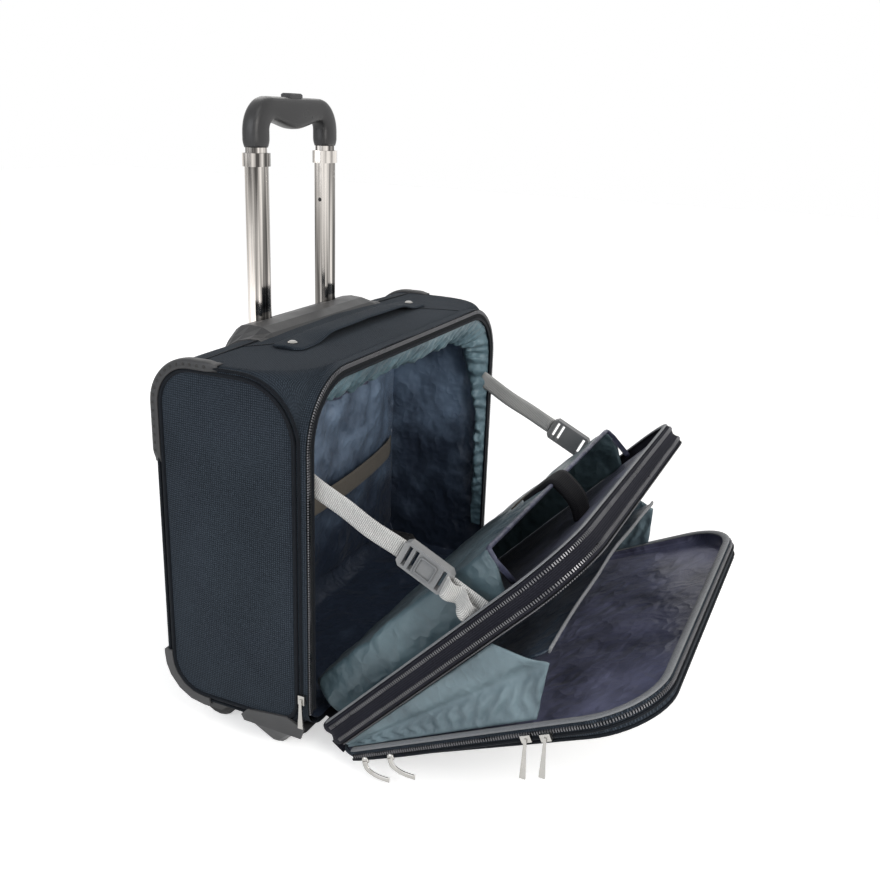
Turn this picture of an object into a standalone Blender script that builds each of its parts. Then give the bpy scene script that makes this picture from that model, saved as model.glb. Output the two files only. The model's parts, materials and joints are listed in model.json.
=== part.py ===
# Rolling flight case, open as in use. Metres, +Z up, the front faces -Y.
import math

import bmesh
import bpy
from mathutils import Vector

# Case body: the rim plane is y = 0 and the floor is z = 0 before the last shift.
CASE_WIDTH = 0.450
BODY_DEPTH = 0.168
BODY_HEIGHT = 0.360
GROUND_CLEARANCE = 0.030
RIM_TOP_RADIUS = 0.070
RIM_BOTTOM_RADIUS = 0.028
SIDE_CORNER = 0.060
RIM_STRIP = 0.010
BACK_RADIUS = 0.045
EDGE_RADIUS = 0.005
BAND_WALL = 0.003
SIDE_PANEL_WALL = 0.004
PIPING_RADIUS = 0.0015
SEAM_INSET = 0.008
LINING_WALL = 0.001
LINING_SLACK = 0.0015
LINING_BACK_RADIUS = 0.030
SIDE_STANDOFF = 0.0013
GAP = 0.0003
ZIP_TAPE_WIDTH = 0.010
ZIP_TAPE_THICK = 0.0012

# Guards, feet and wheels.
GUARD_WALL = 0.0022
GUARD_SIDE_LEG = 0.007
TOP_GUARD_LEG = 0.009
BOTTOM_GUARD_LEG = 0.010
TOP_GUARD_ON_TOP = 0.075
TOP_GUARD_ON_BACK = 0.105
BOTTOM_GUARD_ON_BASE = 0.052
BOTTOM_GUARD_ON_BACK = 0.044
RIB_HEIGHT = 0.0010
RIB_PITCH = 0.008
RIB_SLOPE = 0.0006
WHEEL_RADIUS = 0.022
WHEEL_WIDTH = 0.018
WHEEL_FROM_SIDE = 0.029
WHEEL_FROM_BACK = 0.044
HUB_RADIUS = 0.0135
AXLE_RADIUS = 0.0025
CHEEK = 0.004
WHEEL_SIDE_PLAY = 0.002
WELL_PLAY = 0.004
FOOT_FROM_SIDE = 0.022
FOOT_Y = 0.046
FOOT_SOLE_HALF_X = 0.010
FOOT_SOLE_HALF_Y = 0.009
FOOT_TOP_HALF_X = 0.0232
FOOT_TOP_HALF_Y = 0.038
FOOT_FLARE = 0.0025
FOOT_CHAMFER = 0.004
FOOT_RIM = 0.006
FOOT_CORNER = 0.006
FOOT_LIP_LENGTH = 0.074
FOOT_LIP_HEIGHT = 0.014
FOOT_LIP_REACH = 0.043
FOOT_LIP_WALL = 0.0025

# Trolley handle.
TUBE_SPACING = 0.1334
TUBE_FROM_BACK = 0.013
TUBE_WIDE = 0.026
TUBE_DEEP = 0.0165
TUBE_WALL = 0.0009
TUBE_PLAY = 0.0004
TUBE_CORNER = 0.005
COLLAR_TOP_Z = 0.568
COLLAR_HEIGHT = 0.012
COLLAR_WALL = 0.0018
MIDDLE_TUBE_LENGTH = 0.322
TUBE_END_GAP = 0.004
BRACKET_RISE = 0.001
BRACKET_HEIGHT = 0.010
GRIP_BASE_Z = 0.5745
GRIP_BAR_Z = 0.612
GRIP_BAR_THICK = 0.024
GRIP_BAR_BELLY = 0.008
GRIP_DEPTH = 0.021
GRIP_LEG_WIDTH = 0.0285
GRIP_CORNER = 0.008
GRIP_END_TAPER = 0.0025
GRIP_FOOT = 0.006
GRIP_BEND = 0.022
SOCKET_DEPTH = 0.018
INNER_TUBE_LENGTH = 0.340
BUTTON_LENGTH = 0.026
BUTTON_WIDTH = 0.013
BUTTON_RISE = 0.004
BUTTON_TRAVEL = 0.0035
BEZEL_HALF = 0.127
BEZEL_HEIGHT = 0.011

# Carry handle on the top.
STRAP_HANDLE_HALF = 0.142
STRAP_HANDLE_Y = 0.075
STRAP_HANDLE_WIDTH = 0.036
STRAP_HANDLE_THICK = 0.004
STRAP_HANDLE_RISE = 0.007
RIVET_X = 0.128
RIVET_RADIUS = 0.005
RIVET_HEIGHT = 0.0026
PACKING_STRAP_UP = 0.140
PACKING_STRAP_WIDTH = 0.025
PACKING_STRAP_INSET = 0.030

# Folding panels: local y is the panel's depth and local z runs up the panel.
HINGE_RISE = 0.002
MID_OPEN = math.radians(43.5)
FLAP_OPEN = math.radians(21.0)
PANEL_INSET = 0.004
PANEL_DROP = 0.010
PANEL_LOW = 0.002
PANEL_TOP_RADIUS = 0.066
PANEL_BOTTOM_RADIUS = 0.026
RIM_SEAT = 0.004
MID_THICK = 0.026
MID_WALL = 0.004
MID_BOARD_REAR = 0.0125
MID_BOARD_WALL = 0.003
BINDING_THICK = 0.0015
BINDING_WIDTH = 0.007
FLAP_SEAT = 0.0025
FLAP_HINGE_UP = 0.006
FLAP_DROP = 0.008
FLAP_TOE = 0.004
FLAP_RIM = 0.001
FLAP_THICK_LOW = 0.010
FLAP_THICK_HIGH = 0.021
FLAP_WALL = 0.003
FLAP_POCKET_INSET = 0.046
FLAP_POCKET_LOW = 0.060
FLAP_POCKET_DROP = 0.044
FLAP_POCKET_TOP_RADIUS = 0.030
FLAP_POCKET_LOW_RADIUS = 0.020
FLAP_POCKET_THICK = 0.0035
POCKET_INSET = 0.026
POCKET_DEPTH = 0.034
POCKET_LOW = 0.022
POCKET_DROP = 0.073
POCKET_REAR_WALL = 0.004
POCKET_SIDE_WALL = 0.002
LAPTOP_STRAP_HALF = 0.020
LAPTOP_STRAP_THICK = 0.003
LAPTOP_STRAP_TAIL = 0.045
DIVIDER_Y = 0.024
DIVIDER_UP = 0.014
DIVIDER_INSET = 0.016
DIVIDER_FOOT = 0.004
DIVIDER_DROP = 0.098
DIVIDER_TOP_RADIUS = 0.012
DIVIDER_LOW_RADIUS = 0.006
DIVIDER_WALL = 0.0012
GUSSET_CLEAR = 0.0015
GUSSET_LOW = 0.045
GUSSET_REACH = 0.235
GUSSET_WALL = 0.0006

# Check straps and zip pulls.
BUCKLE_CLEAR = 0.001
STRAP_WIDTH = 0.020
STRAP_THICK = 0.0015
STRAP_ANCHOR_Y = 0.012
STRAP_ANCHOR_DROP = 0.096
STRAP_PANEL_DROP = 0.105
STRAP_SEAT = 0.004
BUCKLE_LENGTH = 0.052
BUCKLE_WIDTH = 0.028
BUCKLE_THICK = 0.009
BUCKLE_OUTER_SHARE = 0.4
BUCKLE_CHAMFER = 0.004
BUCKLE_RAIL = 0.003
BUCKLE_SLOT = 0.0036
BUCKLE_AT = 0.68
PULL_LENGTH = 0.040
PULL_WIDTH = 0.004
PULL_THICK = 0.0015
PULL_HEAD = 0.0006
SLIDER_LENGTH = 0.010
SLIDER_WIDTH = 0.007
SLIDER_THICK = 0.004
SLIDER_STANDOFF = 0.0006
RIM_SLIDER_Y = 0.0015
RIM_SLIDER_UP = 0.034
RIM_PULL_SHARE = 0.8
RIM_PULL_AT = 0.006
FLAP_SLIDER_UP = 0.212
FLAP_SLIDER_STEP = 0.020

HALF = CASE_WIDTH / 2
BASE_Z = GROUND_CLEARANCE
TOP_Z = BASE_Z + BODY_HEIGHT
HINGE_Z = BASE_Z + HINGE_RISE
OUTER_TUBE_TOP_Z = TOP_Z - BACK_RADIUS - TUBE_END_GAP
BRACKET_Z = BASE_Z + BACK_RADIUS + BRACKET_RISE
WHEEL_X = HALF - WHEEL_FROM_SIDE
WHEEL_Y = BODY_DEPTH - WHEEL_FROM_BACK
FOOT_X = HALF - FOOT_FROM_SIDE
TUBE_Y = BODY_DEPTH - TUBE_FROM_BACK
STRAP_X = HALF - ZIP_TAPE_WIDTH - BUCKLE_CLEAR - BUCKLE_OUTER_SHARE * BUCKLE_THICK
STRAP_ANCHOR_Z = TOP_Z - STRAP_ANCHOR_DROP
BACK_ANGLES = (0.0, 20.0, 40.0, 60.0, 75.0, 90.0)

for old in list(bpy.data.objects):
    bpy.data.objects.remove(old)


def material(name, color, rough, metal=0.0):
    made = bpy.data.materials.new(name)
    made.use_nodes = True
    shader = made.node_tree.nodes["Principled BSDF"]
    shader.inputs["Base Color"].default_value = (*color, 1.0)
    shader.inputs["Roughness"].default_value = rough
    shader.inputs["Metallic"].default_value = metal
    return made


KINDS = {
    "fabric": ((0.045, 0.055, 0.075), 0.85, 0.0),
    "lining": ((0.06, 0.11, 0.15), 0.6, 0.0),
    "webbing": ((0.35, 0.35, 0.34), 0.8, 0.0),
    "plastic": ((0.10, 0.105, 0.11), 0.45, 0.0),
    "black": ((0.015, 0.015, 0.016), 0.4, 0.0),
    "chrome": ((0.75, 0.75, 0.76), 0.15, 1.0),
    "rubber": ((0.02, 0.02, 0.02), 0.8, 0.0),
    "binding": ((0.45, 0.46, 0.47), 0.6, 0.0),
}

frame_empty = bpy.data.objects.new("case_frame", None)
bpy.context.scene.collection.objects.link(frame_empty)


def empty(name, place, parent, turn=0.0):
    made = bpy.data.objects.new(name, None)
    bpy.context.scene.collection.objects.link(made)
    made.parent = parent
    made.location = place
    made.rotation_euler = (turn, 0.0, 0.0)
    return made


def solid(name, verts, faces, kind, parent=frame_empty, helper=False):
    mesh = bpy.data.meshes.new(name)
    bm = bmesh.new()
    points = [bm.verts.new(v) for v in verts]
    for face in faces:
        bm.faces.new([points[i] for i in face])
    bmesh.ops.recalc_face_normals(bm, faces=bm.faces)
    bm.to_mesh(mesh)
    bm.free()
    made = bpy.data.objects.new(name, mesh)
    bpy.context.scene.collection.objects.link(made)
    made.parent = parent
    if helper:
        made.hide_render = True
        made.display_type = "WIRE"
    else:
        mesh.materials.append(material(name, *KINDS[kind]))
    return made


def loft(name, rings, kind, parent=frame_empty, closed=False, helper=False):
    """Joins rings of equal length; the ends are capped unless the loft closes on itself."""
    n = len(rings[0])
    verts = [v for ring in rings for v in ring]
    faces = []
    count = len(rings) if closed else len(rings) - 1
    for i in range(count):
        a = i * n
        b = ((i + 1) % len(rings)) * n
        for j in range(n):
            k = (j + 1) % n
            faces.append((a + j, a + k, b + k, b + j))
    if not closed:
        faces.append(tuple(range(n)))
        faces.append(tuple(range((len(rings) - 1) * n, len(rings) * n)))
    return solid(name, verts, faces, kind, parent, helper)


def box(name, low, high, kind, parent=frame_empty, helper=False):
    rings = []
    for z in (low[2], high[2]):
        corners = ((low[0], low[1]), (high[0], low[1]), (high[0], high[1]), (low[0], high[1]))
        rings.append([(x, y, z) for x, y in corners])
    return loft(name, rings, kind, parent, False, helper)


def cut(target, cutter):
    modifier = target.modifiers.new("cut_" + cutter.name, "BOOLEAN")
    modifier.operation = "DIFFERENCE"
    modifier.solver = "EXACT"
    modifier.object = cutter


def join(target, other):
    modifier = target.modifiers.new("join_" + other.name, "BOOLEAN")
    modifier.operation = "UNION"
    modifier.solver = "EXACT"
    modifier.object = other


def arc(cx, cy, radius, start, end, steps):
    points = []
    for i in range(steps + 1):
        a = math.radians(start + (end - start) * i / steps)
        points.append((cx + radius * math.cos(a), cy + radius * math.sin(a)))
    return points


def outline(half, low, high, r_top, r_low, n_top=6, n_low=4):
    """Rounded rectangle in (x, z), anticlockwise from the lower left."""
    points = arc(-half + r_low, low + r_low, r_low, 180, 270, n_low)
    points += arc(half - r_low, low + r_low, r_low, 270, 360, n_low)
    points += arc(half - r_top, high - r_top, r_top, 0, 90, n_top)
    points += arc(-half + r_top, high - r_top, r_top, 90, 180, n_top)
    return points


def round_box(wide, deep, corner, steps=2):
    points = arc(wide / 2 - corner, deep / 2 - corner, corner, 0, 90, steps)
    points += arc(-wide / 2 + corner, deep / 2 - corner, corner, 90, 180, steps)
    points += arc(-wide / 2 + corner, -deep / 2 + corner, corner, 180, 270, steps)
    points += arc(wide / 2 - corner, -deep / 2 + corner, corner, 270, 360, steps)
    return points


def corner_radius(y, big):
    t = min(max((y - RIM_STRIP) / SIDE_CORNER, 0.0), 1.0)
    return EDGE_RADIUS + (big - EDGE_RADIUS) * (1 - math.sqrt(1 - (1 - t) ** 2))


def body_ring(y, inset, depth, back_r):
    """Section of the case at depth y, moved in from the outer skin by inset."""
    drop = inset
    past = y - (depth - back_r)
    if past > 1e-6:
        drop = back_r - math.sqrt(max((back_r - inset) ** 2 - past**2, 0.0))
    top_r = max(corner_radius(y, RIM_TOP_RADIUS) - inset, EDGE_RADIUS / 3)
    low_r = max(corner_radius(y, RIM_BOTTOM_RADIUS) - inset, EDGE_RADIUS / 3)
    points = outline(HALF - inset, BASE_Z + drop, TOP_Z - drop, top_r, low_r)
    return [(x, y, z) for x, z in points]


def body_stations(inset, depth, back_r):
    steps = (0.0, 0.07, 0.18, 0.35, 0.6, 1.0)
    stations = [0.0] + [RIM_STRIP + SIDE_CORNER * s for s in steps]
    flat = depth - back_r
    stations = [y for y in stations if y < flat - 0.004]
    for angle in BACK_ANGLES:
        stations.append(flat + (back_r - inset) * math.sin(math.radians(angle)))
    return stations


def body_shell(name, outer, wall, depth, back_r, kind):
    out = [body_ring(y, outer, depth, back_r) for y in body_stations(outer, depth, back_r)]
    inner = outer + wall
    ins = [body_ring(y, inner, depth, back_r) for y in body_stations(inner, depth, back_r)]
    return loft(name, out[::-1] + ins, kind)


def side_outline(offset):
    """Seam line of a side panel in (y, z), moved out by offset."""
    front = RIM_STRIP + 0.002 - offset
    back = BODY_DEPTH - SEAM_INSET + offset
    low = BASE_Z + SEAM_INSET - offset
    high = TOP_Z - SEAM_INSET + offset
    r_front = SIDE_CORNER - 0.002 + offset
    r_back = BACK_RADIUS - SEAM_INSET + offset
    r_toe = RIM_BOTTOM_RADIUS - 0.004 + offset
    points = arc(front + r_toe, low + r_toe, r_toe, 180, 270, 4)
    points += arc(back - r_back, low + r_back, r_back, 270, 360, 5)
    points += arc(back - r_back, high - r_back, r_back, 0, 90, 5)
    points += arc(front + r_front, high - r_front, r_front, 90, 180, 6)
    return points


def plate_x(name, points, x0, x1, kind, parent=frame_empty, helper=False):
    rings = [[(x, y, z) for y, z in points] for x in (x0, x1)]
    return loft(name, rings, kind, parent, False, helper)


def closed_tube(name, points, x, radius, kind):
    """Round cord along a closed line in the plane of a side panel."""
    rings = []
    count = len(points)
    for i in range(count):
        before = Vector(points[i - 1])
        after = Vector(points[(i + 1) % count])
        along = (after - before).normalized()
        out = Vector((along.y, -along.x))
        ring = []
        for k in range(6):
            a = math.radians(60 * k + 30)
            m = radius * math.cos(a)
            ring.append((x + radius * math.sin(a), points[i][0] + out.x * m, points[i][1] + out.y * m))
        rings.append(ring)
    return loft(name, rings, kind, frame_empty, True)


def edge_strip(name, half, low, high, r_top, r_low, width, y0, y1, kind, parent):
    """Flat tape on a panel's edge: up the left, over the top and down the right."""
    outer = outline(half, low, high, r_top, r_low)
    inner = outline(half - width, low + width, high - width, r_top - width, r_low - width)
    order = list(range(10, 24)) + [0]
    order = [9] + order
    rings = []
    for i in order:
        a = outer[i]
        b = inner[i]
        rings.append([(a[0], y0, a[1]), (b[0], y0, b[1]), (b[0], y1, b[1]), (a[0], y1, a[1])])
    return loft(name, rings, kind, parent)


def ring_bar(name, outer, inner, z0, z1, kind, x=0.0, y=0.0, parent=frame_empty):
    """Tube with an open middle, standing along Z."""
    n = len(outer)
    verts = []
    for loop, z in ((outer, z0), (outer, z1), (inner, z1), (inner, z0)):
        verts += [(x + p[0], y + p[1], z) for p in loop]
    faces = []
    for layer in range(4):
        a = layer * n
        b = ((layer + 1) % 4) * n
        for j in range(n):
            k = (j + 1) % n
            faces.append((a + j, a + k, b + k, b + j))
    return solid(name, verts, faces, kind, parent)


def disc_x(name, x0, x1, y, z, profile, bore, kind, parent=frame_empty, steps=20, helper=False):
    """Wheel part about an X axis: profile is (share of width, radius) from x0 to x1."""
    rings = []
    stations = [(0.0, bore)] + list(profile) + [(1.0, bore)] if bore else list(profile)
    for share, radius in stations:
        x = x0 + (x1 - x0) * share
        rings.append([(x, y + p[0], z + p[1]) for p in arc(0, 0, radius, 0, 360 - 360 / steps, steps - 1)])
    return loft(name, rings, kind, parent, bool(bore), helper)


# Case body.
band = body_shell("body_band", 0.0, BAND_WALL, BODY_DEPTH, BACK_RADIUS, "fabric")
seam_gap = PIPING_RADIUS + GAP
for side, sign in (("left", -1), ("right", 1)):
    hole = plate_x(
        "hole_" + side,
        side_outline(seam_gap),
        sign * (HALF - BAND_WALL - 0.010),
        sign * (HALF + 0.010),
        None,
        helper=True,
    )
    cut(band, hole)
    plate_x(
        side + "_side_panel",
        side_outline(-seam_gap),
        sign * (HALF - SIDE_PANEL_WALL + 0.001),
        sign * (HALF + 0.0005),
        "fabric",
    )
    closed_tube(side + "_piping", side_outline(0.0), sign * (HALF - 0.0005), PIPING_RADIUS, "black")

lining_depth = TUBE_Y - TUBE_DEEP / 2 - TUBE_WALL - TUBE_PLAY
lining = body_shell(
    "body_lining",
    BAND_WALL + GAP + LINING_SLACK,
    LINING_WALL,
    lining_depth,
    LINING_BACK_RADIUS,
    "lining",
)
edge_strip(
    "body_zip_tape",
    HALF,
    BASE_Z,
    TOP_Z,
    RIM_TOP_RADIUS,
    RIM_BOTTOM_RADIUS,
    ZIP_TAPE_WIDTH,
    -GAP - ZIP_TAPE_THICK,
    -GAP,
    "black",
    frame_empty,
)


def guard(name, sign, centre_z, up, flat, rise, leg, ribs):
    """L-section strip round a back corner; up is 1 at the top and -1 at the base."""
    centre_y = BODY_DEPTH - BACK_RADIUS
    stations = [(centre_y - flat, centre_z + up * BACK_RADIUS, 0.0, up)]
    for angle in BACK_ANGLES:
        s = math.sin(math.radians(angle))
        c = math.cos(math.radians(angle))
        stations.append((centre_y + BACK_RADIUS * s, centre_z + up * BACK_RADIUS * c, s, up * c))
    stations.append((BODY_DEPTH, centre_z - up * rise, 1.0, 0.0))
    path = []
    for i in range(len(stations) - 1):
        a = Vector(stations[i])
        b = Vector(stations[i + 1])
        parts = 1
        if ribs:
            parts = max(1, round((Vector(b[:2]) - Vector(a[:2])).length / (RIB_PITCH / 2)))
        for k in range(parts):
            path.append(a.lerp(b, k / parts))
    path.append(Vector(stations[-1]))
    rings = []
    for i, (y, z, my, mz) in enumerate(path):
        raised = (0.0,)
        if ribs and 0 < i < len(path) - 1:
            raised = (0.0, RIB_HEIGHT) if i % 2 else (RIB_HEIGHT, 0.0)
        shift = RIB_SLOPE if len(raised) > 1 else 0.0
        for k, extra in enumerate(raised):
            step = shift * (1 if k else -1)
            top = GAP + GUARD_WALL + extra
            section = (
                (-leg, top),
                (GUARD_WALL + SIDE_STANDOFF, top),
                (GUARD_WALL + SIDE_STANDOFF, -GUARD_SIDE_LEG),
                (SIDE_STANDOFF, -GUARD_SIDE_LEG),
                (SIDE_STANDOFF, GAP * 1.3),
                (-leg, GAP * 1.3),
            )
            ring = []
            for x, m in section:
                ring.append((sign * (HALF + x), y + my * m + mz * up * step, z + mz * m - my * up * step))
            rings.append(ring)
    return loft(name, rings, "plastic")


top_centre = TOP_Z - BACK_RADIUS
low_centre = BASE_Z + BACK_RADIUS
top_flat = TOP_GUARD_ON_TOP - BACK_RADIUS
top_rise = TOP_GUARD_ON_BACK - BACK_RADIUS
low_flat = BOTTOM_GUARD_ON_BASE - BACK_RADIUS
for side, sign in (("left", -1), ("right", 1)):
    guard("top_corner_guard_" + side, sign, top_centre, 1, top_flat, top_rise, TOP_GUARD_LEG, True)
    guard(
        "bottom_corner_guard_" + side,
        sign,
        low_centre,
        -1,
        low_flat,
        BOTTOM_GUARD_ON_BACK - BACK_RADIUS + 0.006,
        BOTTOM_GUARD_LEG,
        False,
    )

# Wheels in their housings, and the front feet.
well_half = WHEEL_WIDTH / 2 + WHEEL_SIDE_PLAY
house_half = well_half + CHEEK
well_y = WHEEL_RADIUS + WELL_PLAY
house_y = well_y + 0.003
well_top = WHEEL_RADIUS * 2 + WELL_PLAY
house_top = well_top + 0.004
for side, sign in (("left", -1), ("right", 1)):
    middle = sign * WHEEL_X
    profile = [
        (WHEEL_Y - house_y, BASE_Z - 0.002),
        (WHEEL_Y - 0.009, WHEEL_RADIUS - 0.009),
        (WHEEL_Y + 0.009, WHEEL_RADIUS - 0.009),
        (WHEEL_Y + house_y, BASE_Z + 0.004),
        (WHEEL_Y + house_y, house_top - 0.006),
        (WHEEL_Y + house_y - 0.006, house_top),
        (WHEEL_Y - house_y + 0.006, house_top),
        (WHEEL_Y - house_y, house_top - 0.006),
    ]
    housing = plate_x(
        "wheel_housing_" + side, profile, middle - house_half, middle + house_half, "black"
    )
    well = box(
        "well_" + side,
        (middle - well_half, WHEEL_Y - well_y, -0.02),
        (middle + well_half, WHEEL_Y + well_y, well_top),
        None,
        helper=True,
    )
    cut(housing, well)
    bore = disc_x(
        "axle_bore_" + side,
        middle - house_half - 0.005,
        middle + house_half + 0.005,
        WHEEL_Y,
        WHEEL_RADIUS,
        ((0.0, AXLE_RADIUS + GAP), (1.0, AXLE_RADIUS + GAP)),
        0.0,
        None,
        steps=12,
        helper=True,
    )
    cut(housing, bore)
    disc_x(
        "wheel_axle_" + side,
        middle - house_half + 0.0005,
        middle + house_half - 0.0005,
        WHEEL_Y,
        WHEEL_RADIUS,
        ((0.0, AXLE_RADIUS), (1.0, AXLE_RADIUS)),
        0.0,
        "chrome",
        steps=12,
    )
    hinge = empty("wheel_pivot_" + side, (middle, WHEEL_Y, WHEEL_RADIUS), frame_empty)
    hub_profile = ((0.0, 0.006), (0.12, HUB_RADIUS * 0.7), (0.2, HUB_RADIUS), (0.8, HUB_RADIUS))
    disc_x(
        "wheel_hub_" + side,
        -WHEEL_WIDTH / 2,
        WHEEL_WIDTH / 2,
        0.0,
        0.0,
        hub_profile + ((0.88, HUB_RADIUS * 0.7), (1.0, 0.006)),
        AXLE_RADIUS + GAP,
        "plastic",
        hinge,
    )
    tyre_profile = ((0.0, WHEEL_RADIUS - 0.004), (0.2, WHEEL_RADIUS), (0.8, WHEEL_RADIUS))
    disc_x(
        "wheel_tyre_" + side,
        -WHEEL_WIDTH / 2,
        WHEEL_WIDTH / 2,
        0.0,
        0.0,
        tyre_profile + ((1.0, WHEEL_RADIUS - 0.004),),
        HUB_RADIUS + GAP,
        "rubber",
        hinge,
    )
    room = box(
        "housing_room_" + side,
        (middle - house_half - GAP, WHEEL_Y - house_y - GAP, BASE_Z - 0.03),
        (middle + house_half + GAP, WHEEL_Y + house_y + GAP, house_top + 0.0012),
        None,
        helper=True,
    )
    cut(band, room)
    cut(lining, room)
    foot_rings = []
    for z, half_x, half_y, out in (
        (0.0, FOOT_SOLE_HALF_X, FOOT_SOLE_HALF_Y, 0.0),
        (FOOT_CHAMFER, FOOT_SOLE_HALF_X + FOOT_FLARE, FOOT_SOLE_HALF_Y + FOOT_FLARE, 0.0),
        (BASE_Z - FOOT_RIM, FOOT_TOP_HALF_X * 0.9, FOOT_TOP_HALF_Y * 0.8, FOOT_FLARE * 0.4),
        (BASE_Z - GAP, FOOT_TOP_HALF_X, FOOT_TOP_HALF_Y, FOOT_FLARE),
    ):
        cx = sign * (FOOT_X + out)
        cy = FOOT_Y - out * 2
        loop = round_box(2 * half_x, 2 * half_y, FOOT_CORNER)
        foot_rings.append([(cx + p[0], cy + p[1], z) for p in loop])
    foot = loft("front_foot_" + side, foot_rings, "plastic")
    lip_shape = []
    for along, up in ((0.05, -0.43), (0.95, -0.36), (1.0, 0.07), (0.89, 0.64), (0.27, 1.0), (0.0, 0.43)):
        lip_shape.append((FOOT_Y - FOOT_LIP_REACH + along * FOOT_LIP_LENGTH, BASE_Z + up * FOOT_LIP_HEIGHT))
    lip = plate_x(
        "foot_lip_" + side,
        lip_shape,
        sign * (HALF + SIDE_STANDOFF),
        sign * (HALF + SIDE_STANDOFF + FOOT_LIP_WALL),
        None,
        helper=True,
    )
    join(foot, lip)

# Trolley handle, from the fixed outer tubes to the grip.
tube_x = TUBE_SPACING / 2
outer_wide = TUBE_WIDE + 2 * (TUBE_PLAY + TUBE_WALL)
outer_deep = TUBE_DEEP + 2 * (TUBE_PLAY + TUBE_WALL)
inner_wide = TUBE_WIDE - 2 * (TUBE_PLAY + TUBE_WALL)
inner_deep = TUBE_DEEP - 2 * (TUBE_PLAY + TUBE_WALL)
slide_one = empty("handle_slide", (0.0, TUBE_Y, COLLAR_TOP_Z), frame_empty)
slide_two = empty("grip_slide", (0.0, 0.0, GRIP_BASE_Z - COLLAR_TOP_Z), slide_one)


def walls(wide, deep, corner, wall):
    outer = round_box(wide, deep, corner)
    inner = round_box(wide - 2 * wall, deep - 2 * wall, corner - wall)
    return outer, inner


bezel_rings = []
bezel_base = [(-BACK_RADIUS * 0.25, BACK_RADIUS)]
for angle in BACK_ANGLES[:4]:
    s = math.sin(math.radians(angle))
    c = math.cos(math.radians(angle))
    bezel_base.append((BACK_RADIUS * s, BACK_RADIUS * c))
centre_y = BODY_DEPTH - BACK_RADIUS
for x, share in ((-1.0, 0.12), (-0.93, 0.6), (-0.82, 1.0), (0.82, 1.0), (0.93, 0.6), (1.0, 0.12)):
    ring = []
    for my, mz in bezel_base:
        k = 1 + (GAP + 0.0001) / BACK_RADIUS
        ring.append((x * BEZEL_HALF, centre_y + my * k, top_centre + mz * k))
    crest = BEZEL_HEIGHT * share
    lift = 0.0025
    tail = bezel_base[-1]
    k = 1 + lift / BACK_RADIUS
    ring.append((x * BEZEL_HALF, centre_y + tail[0] * k, top_centre + tail[1] * k))
    for along, up in ((0.86, -0.25), (0.80, 0.40), (0.66, 0.82), (0.40, 1.0), (0.08, 0.92), (-0.16, 0.50)):
        back = BACK_RADIUS * along
        skin = math.sqrt(BACK_RADIUS**2 - max(back, 0.0) ** 2)
        raised = BACK_RADIUS + crest * up if up > 0 else BACK_RADIUS - 0.010
        flat = skin + lift
        ring.append((x * BEZEL_HALF, centre_y + back, top_centre + flat + max(raised - flat, 0.0) * share))
    bezel_rings.append(ring)
bezel = loft("handle_bezel", bezel_rings, "plastic")
bracket = box(
    "tube_bracket",
    (-tube_x - outer_wide / 2 - 0.006, TUBE_Y - outer_deep / 2, BRACKET_Z),
    (tube_x + outer_wide / 2 + 0.006, BODY_DEPTH - BAND_WALL - GAP, BRACKET_Z + BRACKET_HEIGHT),
    "black",
)
grip_rings = []
bar_half = TUBE_SPACING / 2
bend_z = GRIP_BAR_Z - GRIP_BEND
foot_z = GRIP_BASE_Z + GRIP_FOOT
bend_x = bar_half - GRIP_BEND
path = [(-bar_half, GRIP_BASE_Z, 90.0), (-bar_half, foot_z, 90.0)]
for k in range(5):
    a = math.radians(180 - 22.5 * k)
    x, z = GRIP_BEND * math.cos(a), GRIP_BEND * math.sin(a)
    path.append((-bend_x + x, bend_z + z, 90 - 22.5 * k))
for share in (-0.4, 0.0, 0.4):
    path.append((share * bar_half, GRIP_BAR_Z, 0.0))
for k in range(4, -1, -1):
    a = math.radians(22.5 * k)
    x, z = GRIP_BEND * math.cos(a), GRIP_BEND * math.sin(a)
    path.append((bend_x + x, bend_z + z, 22.5 * k - 90))
path += [(bar_half, foot_z, -90.0), (bar_half, GRIP_BASE_Z, -90.0)]
for i, (x, z, heading) in enumerate(path):
    share = abs(heading) / 90.0
    flatness = max(0.0, 1 - abs(x) / (bar_half * 0.75))
    thick = GRIP_BAR_THICK + (GRIP_LEG_WIDTH - GRIP_BAR_THICK) * share
    if i in (0, len(path) - 1):
        thick -= GRIP_END_TAPER
    belly = GRIP_BAR_BELLY * flatness * (1 - share)
    a = math.radians(heading)
    out = Vector((-math.sin(a), math.cos(a)))
    ring = []
    for p in round_box(GRIP_DEPTH, thick, GRIP_CORNER):
        m = p[1] - (belly if p[1] < 0 else 0.0)
        ring.append((x + out.x * m, TUBE_Y + p[0], z + out.y * m))
    grip_rings.append(ring)
grip_local = []
for ring in grip_rings:
    grip_local.append([(x, y - TUBE_Y, z - GRIP_BASE_Z) for x, y, z in ring])
grip = loft("grip", grip_local, "black", slide_two)
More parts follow.
